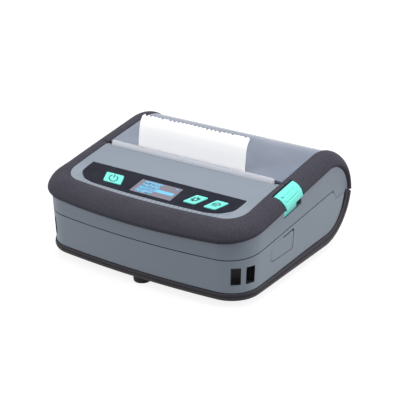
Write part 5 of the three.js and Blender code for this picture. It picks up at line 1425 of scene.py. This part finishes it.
def paperSheet():
    path = [np.array(p) for p in sheetPath()]
    lengths = np.cumsum([0] + [np.linalg.norm(b - a) for a, b in zip(path, path[1:])])
    rng = np.random.default_rng(7)
    count = sheet["across"]
    tears = rng.uniform(*sheet["tears"], count // 4 + 2)
    front, back = [], []
    for j in range(count + 1):
        x = sheet["x0"] + (sheet["x1"] - sheet["x0"]) * j / count
        phase = abs((j % 4) / 2 - 1)
        cut = sheet["toothDepth"] * (0.05 + phase * tears[(j + 2) // 4])
        end = lengths[-1] - max(0.02, cut)
        stops = np.concatenate([lengths[lengths < lengths[-1] - sheet["toothZone"]], [end]])
        side = 2 * j / count - 1
        columnFront, columnBack = [], []
        for s in stops:
            i = min(np.searchsorted(lengths, s, side="right") - 1, len(path) - 2)
            t = (s - lengths[i]) / (lengths[i + 1] - lengths[i])
            point = path[i] * (1 - t) + path[i + 1] * t
            way = (path[i + 1] - path[i]) / np.linalg.norm(path[i + 1] - path[i])
            rise = max(0.0, (point[1] - sheet["curlFrom"]) / sheet["curlOver"])
            ripple, waves, shift = sheet["ripple"]
            bulge = sheet["curl"] * rise * (side * side - sheet["curlMiddle"])
            bulge += ripple * rise * math.sin(waves * side + shift)
            y, z = point[0] + bulge, point[1]
            half = sheet["thickness"] / 2
            columnFront.append((x, y - way[1] * half, z + way[0] * half))
            columnBack.append((x, y + way[1] * half, z - way[0] * half))
        front.append(columnFront)
        back.append(columnBack)
    return lofted("paperSheet", [f + b[::-1] for f, b in zip(front, back)])


place(paperSheet(), "case", finishes["paper"], ["paper_web"], "paper_white", smooth=50)
print("tear bar and sheet built")


# Release latch: a cap over the rim, slanted with it, with two curved grooves and a fainter one across them

latch = {
    "rows": 76, "edge": 0.4, "lip": [(4.25, 1.9), (4.25, 0.3)],
    "outer": [
        (4.25, 0.1), (4.5, -0.4), (5.4, -0.6), (7.6, 0.05), (9.7, 1.45), (11.4, 3.6), (12.3, 6.0), (12.35, 7.5),
        (11.9, 8.0),
    ],
    "inner": [
        (11.1, 7.7), (10.4, 6.4), (9.9, 6.2), (9.4, 13.2), (7.4, 13.2), (7.0, 5.9), (3.9, 5.1), (2.9, 4.2),
        (2.7, 3.0), (3.4, 2.2),
    ],
    "grooves": [
        [(2.3, 3.3), (2.3, 4.2), (2.9, 4.9), (4, 5.05), (10, 5.0), (16.6, 4.7)],
        [(2.4, 7.6), (2.4, 8.5), (3.0, 9.1), (4, 9.25), (10, 9.2), (16.2, 8.9)],
        [(18.7, 0.9), (18.7, 9.6)],
    ],
    "grooveDepths": [0.5, 0.5, 0.2], "grooveWidth": 0.55, "taperFrom": 4.5, "taperOver": 8,
    "pin": (68.2, 2.6), "bore": 1.1, "boreEnds": (-20, 5),
    "slots": [(8.6, 0.8, -24, -14.5), (8.6, 0.8, 0.8, 8), (10.2, 6.9, -1.2, 8)], "slotStart": -2, "slotLow": 20,
}


def distanceToLine(point, line):
    best = 1e9
    for a, b in zip(line, line[1:]):
        a, b = np.array(a), np.array(b)
        t = np.clip(np.dot(point - a, b - a) / np.dot(b - a, b - a), 0, 1)
        best = min(best, np.linalg.norm(point - a - (b - a) * t))
    return best


def latchCap():
    skin = smoothCurve(latch["outer"], 9)
    lengths = np.cumsum([0] + [math.dist(a, b) for a, b in zip(skin, skin[1:])])
    span = latchZone["back"] - latchZone["front"]
    rows = []
    for i in range(latch["rows"] + 1):
        along = span * i / latch["rows"]
        fromEnd = min(along, span - along)
        outside = 1 - min(1, fromEnd / latch["edge"])
        drop = latch["edge"] * (1 - math.sqrt(1 - outside ** 2))
        ring = []
        for k, (a, d) in enumerate(skin):
            before, after = skin[max(0, k - 1)], skin[min(len(skin) - 1, k + 1)]
            outward = np.array([after[1] - before[1], -(after[0] - before[0])]) / math.dist(after, before)
            depth = drop
            for line, deepest in zip(latch["grooves"], latch["grooveDepths"]):
                near = distanceToLine(np.array([along, lengths[k]]), line) / latch["grooveWidth"]
                depth += deepest * max(0, 1 - near * near)
            ring.append((a - outward[0] * depth, d - outward[1] * depth))
        section = latch["lip"] + ring + latch["inner"]
        shrink = latchZone["taper"] * along / span / latch["taperOver"]
        across = [rimInner[0] + a - shrink * max(0, a - latch["taperFrom"]) for a, d in section]
        rows.append([(x, *underLatch(latchZone["front"] + along, d)) for x, (a, d) in zip(across, section)])
    return lofted("latchCap", rows)


def slopedBar(name, outline, y0, y1):
    middle, slope = latchZone["middle"], body["topSlope"]
    return lofted(name, [[(x, y, z + slope * (y - middle)) for x, z in outline] for y in (y0, y1)])


def latchCuts():
    top = topHeight(latchZone["middle"])
    x, down = latch["pin"]
    start = rimInner[0] + latch["slotStart"]
    cuts = [
        slopedBar("slot", rectangle(start, rimInner[0] + end, top - high, top - latch["slotLow"]), y0, y1)
        for end, high, y0, y1 in latch["slots"]
    ]
    return cuts + [slopedBar("latchBore", circle(latch["bore"], x, top - down), *latch["boreEnds"])]


latchPiece = latchCap()
for cutter in latchCuts():
    cutWith(latchPiece, [cutter])
place(latchPiece, "latch_lever", finishes["teal"], ["latch"], "teal", smooth=40)
print("latch built")


# Port flap: follows the wall, with a raised line round it and a notch to pry it open

def wallX(y, z):
    low, high = panelLowHeight(y), rimLowHeight(y)
    return wallLow[0] + (wallHigh[0] - wallLow[0]) * (z - low) / (high - low)


def portFlap():
    start, line, (inward, dip) = flap["gap"], flap["line"], flap["edgeStep"]
    steps = [(start, -flap["wall"]), (start, -flap["edge"]), (start + inward, dip), (start + flap["edge"], 0)]
    steps.append((line, 0))
    steps += [(line + across, flap["lineRise"] * raised) for across, raised in flap["lineSteps"]]
    rings = []
    for inset, level in steps:
        rings.append([(wallX(y, z) + level, y, z) for y, z in flapOutline(inset, flap["notch"])])
    return lofted("portFlap", rings)


place(portFlap(), "flap", finishes["flapRubber"], ["port_flap"], "flap_rubber", smooth=50)


# Base: turned-up trim, floor that runs up the rear end, hinge knuckles

base = {
    "step": [(0.999, 0.58), (0.955, 0.61), (0.955, 0.67), (0.985, 0.7), (0.98, 1)], "wall": 2.4, "edge": 0.5,
    "floorHalf": 62.6, "floorRadii": (30.38, 28.02), "floorEnds": (3.02, -90), "floor": (4.02, 6.38), "lap": 0.6,
    "boss": (4.2, 4.05, 9), "post": (2, 5, 19.2), "postSpots": [(50, -30), (50, -6)],
    "pinionPost": (1.2, 5, 11), "pinionSpot": (-1.35, 34.9),
    "door": (38, -48.5, -8), "tab": (9, 2.2), "doorCorners": [1.5, 1.5, 1.5, 0.4, 0.8, 0.8, 0.4, 1.5],
    "doorCut": (1, 8), "planCut": (-5, 90), "rearEnd": 70,
    "trough": 3.9, "headBore": (2.9, 1, 6.6), "shankBore": (1.6, 3, 15),
    "web": [(63.3, 29), (66.2, 29), (66.2, 33.6), (64.2, 34.4), (63.4, 35)],
}
foot = {"radius": 5.5, "taper": 0.3, "height": 4.5, "seat": (1, 4.8)}
feet = [
    ("frontFoot", "front_foot", 0, -54.6), ("rearFootLeft", "rear_foot_left", -52, 30),
    ("rearFootRight", "rear_foot_right", 52, 30),
]
screwSpots = [(side * bosses["x"], y) for side in (-1, 1) for y in bosses["rows"]]


def trimRing(station):
    placement = trimFrame(station)
    outside = trimShares[:1] + smoothCurve(trimShares[1:-1], 4) + base["step"]
    outer = curvePoints(placement, outside, 0, 0, True)
    inner = curvePoints(placement, trimShares[:1] + trimShares[2:], base["wall"], base["wall"], False)
    points = outer + inner
    radii = [0] * len(points)
    radii[len(outer) - 1] = base["edge"]
    return placed(placement, roundedPolygon(points, radii, 3))


def baseParts():
    stations = arcStations(30) + sideStations(6, -36, 4) + frontStations()
    trimPart = lofted("trim", mirrorRings([trimRing(s) for s in stations]))
    half = outlineHalf(trimInner, -base["lap"], base["rearEnd"])
    (outer, inner), (first, last), (low, high) = base["floorRadii"], base["floorEnds"], base["floor"]
    skin = arcPoints(outer, first, last, 30) + [(-far, low), (-far, high)] + arcPoints(inner, last, first, 30)
    floor = barAlongX("floor", skin, -base["floorHalf"], base["floorHalf"])
    plan = barAlongZ("planCut", half + [(-x, y) for x, y in half[::-1]], *base["planCut"])
    change = floor.modifiers.new("plan", "BOOLEAN")
    change.operation, change.solver, change.object = "INTERSECT", "EXACT", plan
    applyModifiers(floor)
    bpy.data.objects.remove(plan)
    rods = [(base["boss"], spot) for spot in screwSpots] + [(base["post"], spot) for spot in base["postSpots"]]
    rods.append((base["pinionPost"], base["pinionSpot"]))
    return [trimPart, floor] + [rodAlong("post", "Z", *sizes, spot) for sizes, spot in rods]


def doorOutline():
    half, front, back = base["door"]
    tab, end = base["tab"][0], back + base["tab"][1]
    points = rectangle(-half, half, front, back)
    points[3:3] = [(tab, back), (tab, end), (-tab, end), (-tab, back)]
    return roundedPolygon(points, base["doorCorners"], 4)


baseShell = joinPieces("baseShell", baseParts())
trough = rodAlong("trough", "X", base["trough"], -far, far, lid["hinge"], 0.1)
bores = [(base[kind], spot) for kind in ("headBore", "shankBore") for spot in screwSpots]
bores += [((foot["radius"] + gap, *foot["seat"]), (x, y)) for name, node, x, y in feet]
baseBores = [rodAlong("bore", "Z", *sizes, spot, 0.05) for sizes, spot in bores]
cutWith(baseShell, [trough, barAlongZ("doorHole", doorOutline(), *base["doorCut"])] + baseBores, merge=True)
hingeParts = []
for x0, x1 in lid["baseKnuckles"]:
    hingeParts.append(tubeAlong("knuckle", "X", lid["knuckle"], lid["pin"] + gap, x0, x1, lid["hinge"], 0.25, 32))
    hingeParts.append(barAlongX("web", base["web"], x0 + 0.05, x1 - 0.05))
baseShell = joinPieces("baseShell", [bevelled(baseShell, 0.2, 2, 50)] + hingeParts)
place(baseShell, "case", finishes["baseBlack"], ["base_shell"], "base_black")

height, radius = foot["height"], foot["radius"]
footLine = [(0, rodEye), (0, radius - foot["taper"]), (height, radius), (height, rodEye)]
footProfile = roundedPolygon(footLine, [0, 0.7, 0.3, 0], 4)
for name, node, x, y in feet:
    piece = turnedAlong(name, "Z", footProfile, (x, y), 40)
    place(piece, "case", finishes["rubber"], [node], "rubber_black")

screwTree, given = newGeometryTree("crossScrews", {
    "Head Radius": "Float", "Head Height": "Float", "Shank Radius": "Float", "Shank Length": "Float",
    "Slot Length": "Float",
})
screw = {"taper": 0.82, "slotWidth": 0.24, "slotDrop": -0.35, "middle": 5.45}
headHeight, slotLength, shankLength = given["Head Height"], given["Slot Length"], given["Shank Length"]
screwHead = addNode(screwTree, "GeometryNodeMeshCone", {
    "Vertices": 28, "Radius Top": given["Head Radius"],
    "Radius Bottom": product(screwTree, given["Head Radius"], screw["taper"]), "Depth": headHeight,
}).outputs["Mesh"]
slotSize = sized(screwTree, X=slotLength, Y=product(screwTree, slotLength, screw["slotWidth"]), Z=headHeight)
slotBar = addNode(screwTree, "GeometryNodeMeshCube", {"Size": slotSize}).outputs["Mesh"]
cross = joined(screwTree, slotBar, moved(screwTree, slotBar, Rotation=(0.0, 0.0, math.pi / 2)))
crossDown = sized(screwTree, Z=product(screwTree, headHeight, screw["slotDrop"]))
slotted = without(screwTree, screwHead, moved(screwTree, cross, Translation=crossDown))
shank = addNode(screwTree, "GeometryNodeMeshCylinder", {
    "Vertices": 16, "Radius": given["Shank Radius"], "Depth": shankLength,
}).outputs["Mesh"]
shankUp = sized(screwTree, Z=product(screwTree, maths(screwTree, "ADD", shankLength, headHeight), 0.5))
wholeScrew = joined(screwTree, slotted, moved(screwTree, shank, Translation=shankUp))
onSpots = addNode(screwTree, "GeometryNodeInstanceOnPoints", {"Points": given["Geometry"], "Instance": wholeScrew})
endTree(screwTree, onSpots.outputs[0], given)

screws = generated("baseScrews", screwTree, {
    "Head Radius": 0.0026, "Head Height": 0.0017, "Shank Radius": 0.0013, "Shank Length": 0.0086,
    "Slot Length": 0.0029, "Finish": finishes["turnedSteel"],
}, [(x, y, screw["middle"]) for x, y in screwSpots])
screwNodes = ["base_screw_" + spot for spot in ("front_left", "front_right", "rear_left", "rear_right")]
place(screws, "case", finishes["turnedSteel"], screwNodes, "steel")
print("base, feet and screws built")


# Print mechanism and paper roll

# Points per tooth, from one root to the next: radius as root 0 to tip 1, angle as a share of the pitch
toothRadii = [0, 0.12, 0.6, 1, 1, 0.6, 0.12, 0]
toothTurns = [0.2, 0.245, 0.31, 0.39, 0.61, 0.69, 0.755, 0.8]
toothPoints = float(len(toothRadii))
toothModules = 1.8


def curveNode(tree, value, levels):
    node = addNode(tree, "ShaderNodeFloatCurve", {"Value": value})
    points = [(i / (len(levels) - 1), level) for i, level in enumerate(levels)]
    curve = node.mapping.curves[0]
    curve.points[0].location = points[0]
    curve.points[1].location = points[-1]
    for x, y in points[1:-1]:
        curve.points.new(x, y)
    for point in curve.points:
        point.handle_type = "VECTOR"
    node.mapping.update()
    return node.outputs[0]


gearTree, given = newGeometryTree("spurGear", {
    "Teeth": "Int", "Module": "Float", "Width": "Float", "Bore Radius": "Float", "Phase": "Float",
    "Turn": "Vector", "Place": "Vector",
})
ringCount = product(gearTree, given["Teeth"], toothPoints)
blank = addNode(gearTree, "GeometryNodeMeshCircle", {"Vertices": ringCount, "Radius": 1.0}, fill_type="NGON")
index = addNode(gearTree, "GeometryNodeInputIndex").outputs[0]
toothStep = maths(gearTree, "DIVIDE", maths(gearTree, "MODULO", index, toothPoints), toothPoints - 1)
toothIndex = maths(gearTree, "FLOOR", maths(gearTree, "DIVIDE", index, toothPoints))
pitchRadius = product(gearTree, given["Teeth"], given["Module"], 0.5)
rootRadius = difference(gearTree, pitchRadius, given["Module"])
toothHeight = product(gearTree, given["Module"], toothModules)
toothRadius = maths(gearTree, "MULTIPLY_ADD", curveNode(gearTree, toothStep, toothRadii), toothHeight, rootRadius)
toothTurn = maths(gearTree, "ADD", toothIndex, curveNode(gearTree, toothStep, toothTurns))
toothTurn = product(gearTree, difference(gearTree, toothTurn, 0.5), 2 * math.pi)
toothAngle = maths(gearTree, "ADD", maths(gearTree, "DIVIDE", toothTurn, given["Teeth"]), given["Phase"])
toothPlace = sized(
    gearTree, X=product(gearTree, toothRadius, maths(gearTree, "COSINE", toothAngle)),
    Y=product(gearTree, toothRadius, maths(gearTree, "SINE", toothAngle)),
)
toothed = addNode(gearTree, "GeometryNodeSetPosition", {"Geometry": blank.outputs["Mesh"], "Position": toothPlace})
raised = addNode(gearTree, "GeometryNodeExtrudeMesh", {
    "Mesh": toothed.outputs[0], "Offset": sized(gearTree, Z=given["Width"]), "Offset Scale": 1.0,
})
underside = addNode(gearTree, "GeometryNodeFlipFaces", {"Mesh": toothed.outputs[0]})
solidGear = addNode(gearTree, "GeometryNodeMergeByDistance", {
    "Geometry": joined(gearTree, raised.outputs["Mesh"], underside.outputs[0]), "Distance": 1e-6,
})
boreTool = addNode(gearTree, "GeometryNodeMeshCylinder", {
    "Vertices": 24, "Radius": given["Bore Radius"], "Depth": product(gearTree, given["Width"], 3.0),
})
bored = without(gearTree, solidGear.outputs[0], boreTool.outputs["Mesh"])
turnedGear = moved(gearTree, bored, Rotation=given["Turn"], Translation=given["Place"])
endTree(gearTree, turnedGear, given)

train = {"x0": -61.2, "width": 2.3, "module": 0.6, "reaches": (12, 10.2), "turn": (math.pi / 2, 0.0, math.pi / 2)}
shaft = {"radius": 1.0, "x0": -59.5, "x1": -51.3}
pinion = {
    "module": 0.8, "width": 3, "bore": 1.5, "x": -1.35, "z": 7.4, "phase": -math.pi / 2, "turn": (0.0, 0.0, 0.0),
}
ends = {"platenRubber": (5.0, 1.8, -54, 54), "platenRod": (1.5, -61.5, 57), "paper": (20.0, 9.8), "core": (9.5, 8.0)}


def meshed(source, teeth, y, reach):
    z = source["z"] - math.sqrt(reach ** 2 - (source["y"] - y) ** 2)
    way = math.atan2(z - source["z"], y - source["y"])
    share = (way - source["phase"]) / (2 * math.pi / source["teeth"])
    phase = way + math.pi + (share - math.floor(share) - 0.5) * (2 * math.pi / teeth)
    return {"y": y, "z": z, "teeth": teeth, "phase": phase}


def spurGear(name, settings, sizes, at, bore):
    return generated(name, gearTree, {
        "Teeth": sizes["teeth"], "Phase": sizes["phase"], "Module": settings["module"] * toMetres,
        "Width": settings["width"] * toMetres, "Bore Radius": bore * toMetres, "Turn": settings["turn"],
        "Place": tuple(c * toMetres for c in at), "Finish": finishes["gearWhite"],
    })


def trainGear(name, mesh, bore):
    return spurGear(name, train, mesh, (train["x0"], mesh["y"], mesh["z"]), bore)


platenMesh = {"y": lid["platen"][0], "z": lid["platen"][1], "teeth": 18, "phase": 0.0}
idlerMesh = meshed(platenMesh, 22, 1.5, train["reaches"][0])
motorMesh = meshed(idlerMesh, 12, -2.5, train["reaches"][1])
motorCentre = (motorMesh["y"], motorMesh["z"])
pinionAt = (pinion["x"], roll["centre"][0], pinion["z"])
pinionSizes = {"teeth": 10, "phase": pinion["phase"]}
sheetEnds = (sheet["x0"], sheet["x1"], roll["centre"])
platenGear = trainGear("platenGear", platenMesh, 1.8)
idlerGear = trainGear("idlerGear", idlerMesh, 1.5)
motorPinion = joinPieces("motorPinion", [
    trainGear("pinion", motorMesh, 0.95),
    rodAlong("motorShaft", "X", shaft["radius"], shaft["x0"], shaft["x1"], motorCentre, 0.1, 20),
])
guidePinion = spurGear("guidePinion", pinion, pinionSizes, pinionAt, pinion["bore"])
platenRubber = tubeAlong("platenRubber", "X", *ends["platenRubber"], lid["platen"], 0.4, 64)
platenRod = rodAlong("platenRod", "X", *ends["platenRod"], lid["platen"], 0.3)
rollPaper = tubeAlong("rollPaper", "X", *ends["paper"], *sheetEnds, 0.25, 96)
rollCore = tubeAlong("rollCore", "X", *ends["core"], *sheetEnds, 0.3, 64)
hingePin = rodAlong("hingePin", "X", lid["pin"], -lid["pinHalf"], lid["pinHalf"], lid["hinge"], 0.3)
for piece, bodyName, finishName, node, slotName in (
    (platenGear, "platen", "gearWhite", "platen_gear", "gear_white"),
    (idlerGear, "idler", "gearWhite", "idler_gear", "gear_white"),
    (motorPinion, "motor_rotor", "gearWhite", "motor_pinion", "gear_white"),
    (guidePinion, "guide_gear", "gearWhite", "guide_pinion", "gear_white"),
    (platenRubber, "platen", "rubber", "platen_roller", "rubber_black"),
    (platenRod, "platen", "turnedSteel", "platen_shaft", "steel"),
    (rollPaper, "roll", "woundPaper", "paper_roll", "paper_white"),
    (rollCore, "roll", "cardboard", "roll_core", "core_board"),
    (hingePin, "case", "turnedSteel", "hinge_pin", "steel"),
):
    place(piece, bodyName, finishes[finishName], [node], slotName)
print("mechanism built")


# CAD nodes that keep their shape take these finishes

kept = {
    "innerBlack": [
        "strap_pocket_right", "strap_pocket_left", "guide_right", "guide_left", "latch_bracket", "dc_socket",
        "display_module",
    ],
    "baseBlack": ["battery_door"],
    "rubber": ["key_pad_left", "key_pad_right"],
    "steel": ["chassis", "motor", "head_bracket", "usb_socket"],
    "turnedSteel": ["latch_pin", "latch_spring", "idler_axle", "head_spring_right", "head_spring_left"],
    "aluminium": ["print_head"],
    "board": ["main_board", "button_board"],
    "bronze": ["platen_bush_right", "platen_bush_left"],
    "wrap": ["battery_pack"],
}
for finishName, nodes in kept.items():
    for node in nodes:
        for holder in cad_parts[node].material_slots:
            holder.material = finishes[finishName]
print("kept nodes dressed")


# Floor, camera and light

camera = {
    "at": (399.7, -581.5, 327.2), "lens": 111.88,
    "right": (0.8268, 0.5625, 0.0), "up": (-0.2169, 0.3188, 0.9227), "ahead": (-0.5190, 0.7629, -0.3856),
}
light = {
    "world": 0.3, "floorGlow": 0.84, "floorColour": linear(118, 118, 120), "floorReach": 6, "target": (0, 0, 0.03),
    "lamps": {
        "overhead": {"at": (0.15, 0.05, 1.3), "size": 1.2, "power": 18.5},
        "frontSoft": {"at": (-0.8, -1.1, 0.6), "size": 0.9, "power": 11.5},
        "rightSoft": {"at": (1.25, 0.35, 0.55), "size": 0.9, "power": 12},
    },
}


def addCamera():
    data = bpy.data.cameras.new("camera")
    data.lens, data.sensor_width = camera["lens"], 36
    data.clip_start, data.clip_end = 0.01, 20
    eye = bpy.data.objects.new("camera", data)
    right, up, ahead = (Vector(camera[k]).normalized() for k in ("right", "up", "ahead"))
    turn = Matrix((right, up, -ahead)).transposed().to_4x4()
    eye.matrix_world = Matrix.Translation(Vector(camera["at"]) * toMetres) @ turn
    bpy.context.scene.collection.objects.link(eye)
    bpy.context.scene.camera = eye


def addLamp(name, settings):
    data = bpy.data.lights.new(name, "AREA")
    data.shape, data.size, data.energy = "SQUARE", settings["size"], settings["power"]
    lamp = bpy.data.objects.new(name, data)
    lamp.location = settings["at"]
    lamp.rotation_euler = (Vector(light["target"]) - Vector(settings["at"])).to_track_quat("-Z", "Y").to_euler()
    bpy.context.scene.collection.objects.link(lamp)


def seenDirectly(tree):
    path = tree.nodes.new("ShaderNodeLightPath")
    seen = maths(tree, "MAXIMUM", path.outputs["Is Camera Ray"], path.outputs["Is Glossy Ray"])
    return maths(tree, "MAXIMUM", seen, path.outputs["Is Transmission Ray"])


def addFloor():
    mesh = bpy.data.meshes.new("floor")
    reach = light["floorReach"]
    mesh.from_pydata([(x, y, 0) for x, y in rectangle(-reach, reach, -reach, reach)], [], [(0, 1, 2, 3)])
    floor = bpy.data.objects.new("floor", mesh)
    bpy.context.scene.collection.objects.link(floor)
    finish, tree, shader = newMaterial("floorPaper")
    feed(tree, shader, {
        "Base Color": light["floorColour"], "Roughness": 0.9, "Emission Color": (1, 1, 1, 1),
        "Emission Strength": product(tree, seenDirectly(tree), light["floorGlow"]),
    })
    mesh.materials.append(finish)


def setWorld():
    world = bpy.data.worlds.new("studio")
    bpy.context.scene.world = world
    world.use_nodes = True
    tree = world.node_tree
    strength = remap(tree, seenDirectly(tree), 0.0, 1.0, light["world"], 1.0)
    feed(tree, tree.nodes["Background"], {"Color": (1, 1, 1, 1), "Strength": strength})


addCamera()
for lampName, settings in light["lamps"].items():
    addLamp(lampName, settings)
addFloor()
setWorld()
bpy.context.scene.view_settings.view_transform = "Standard"
print("camera and light set")
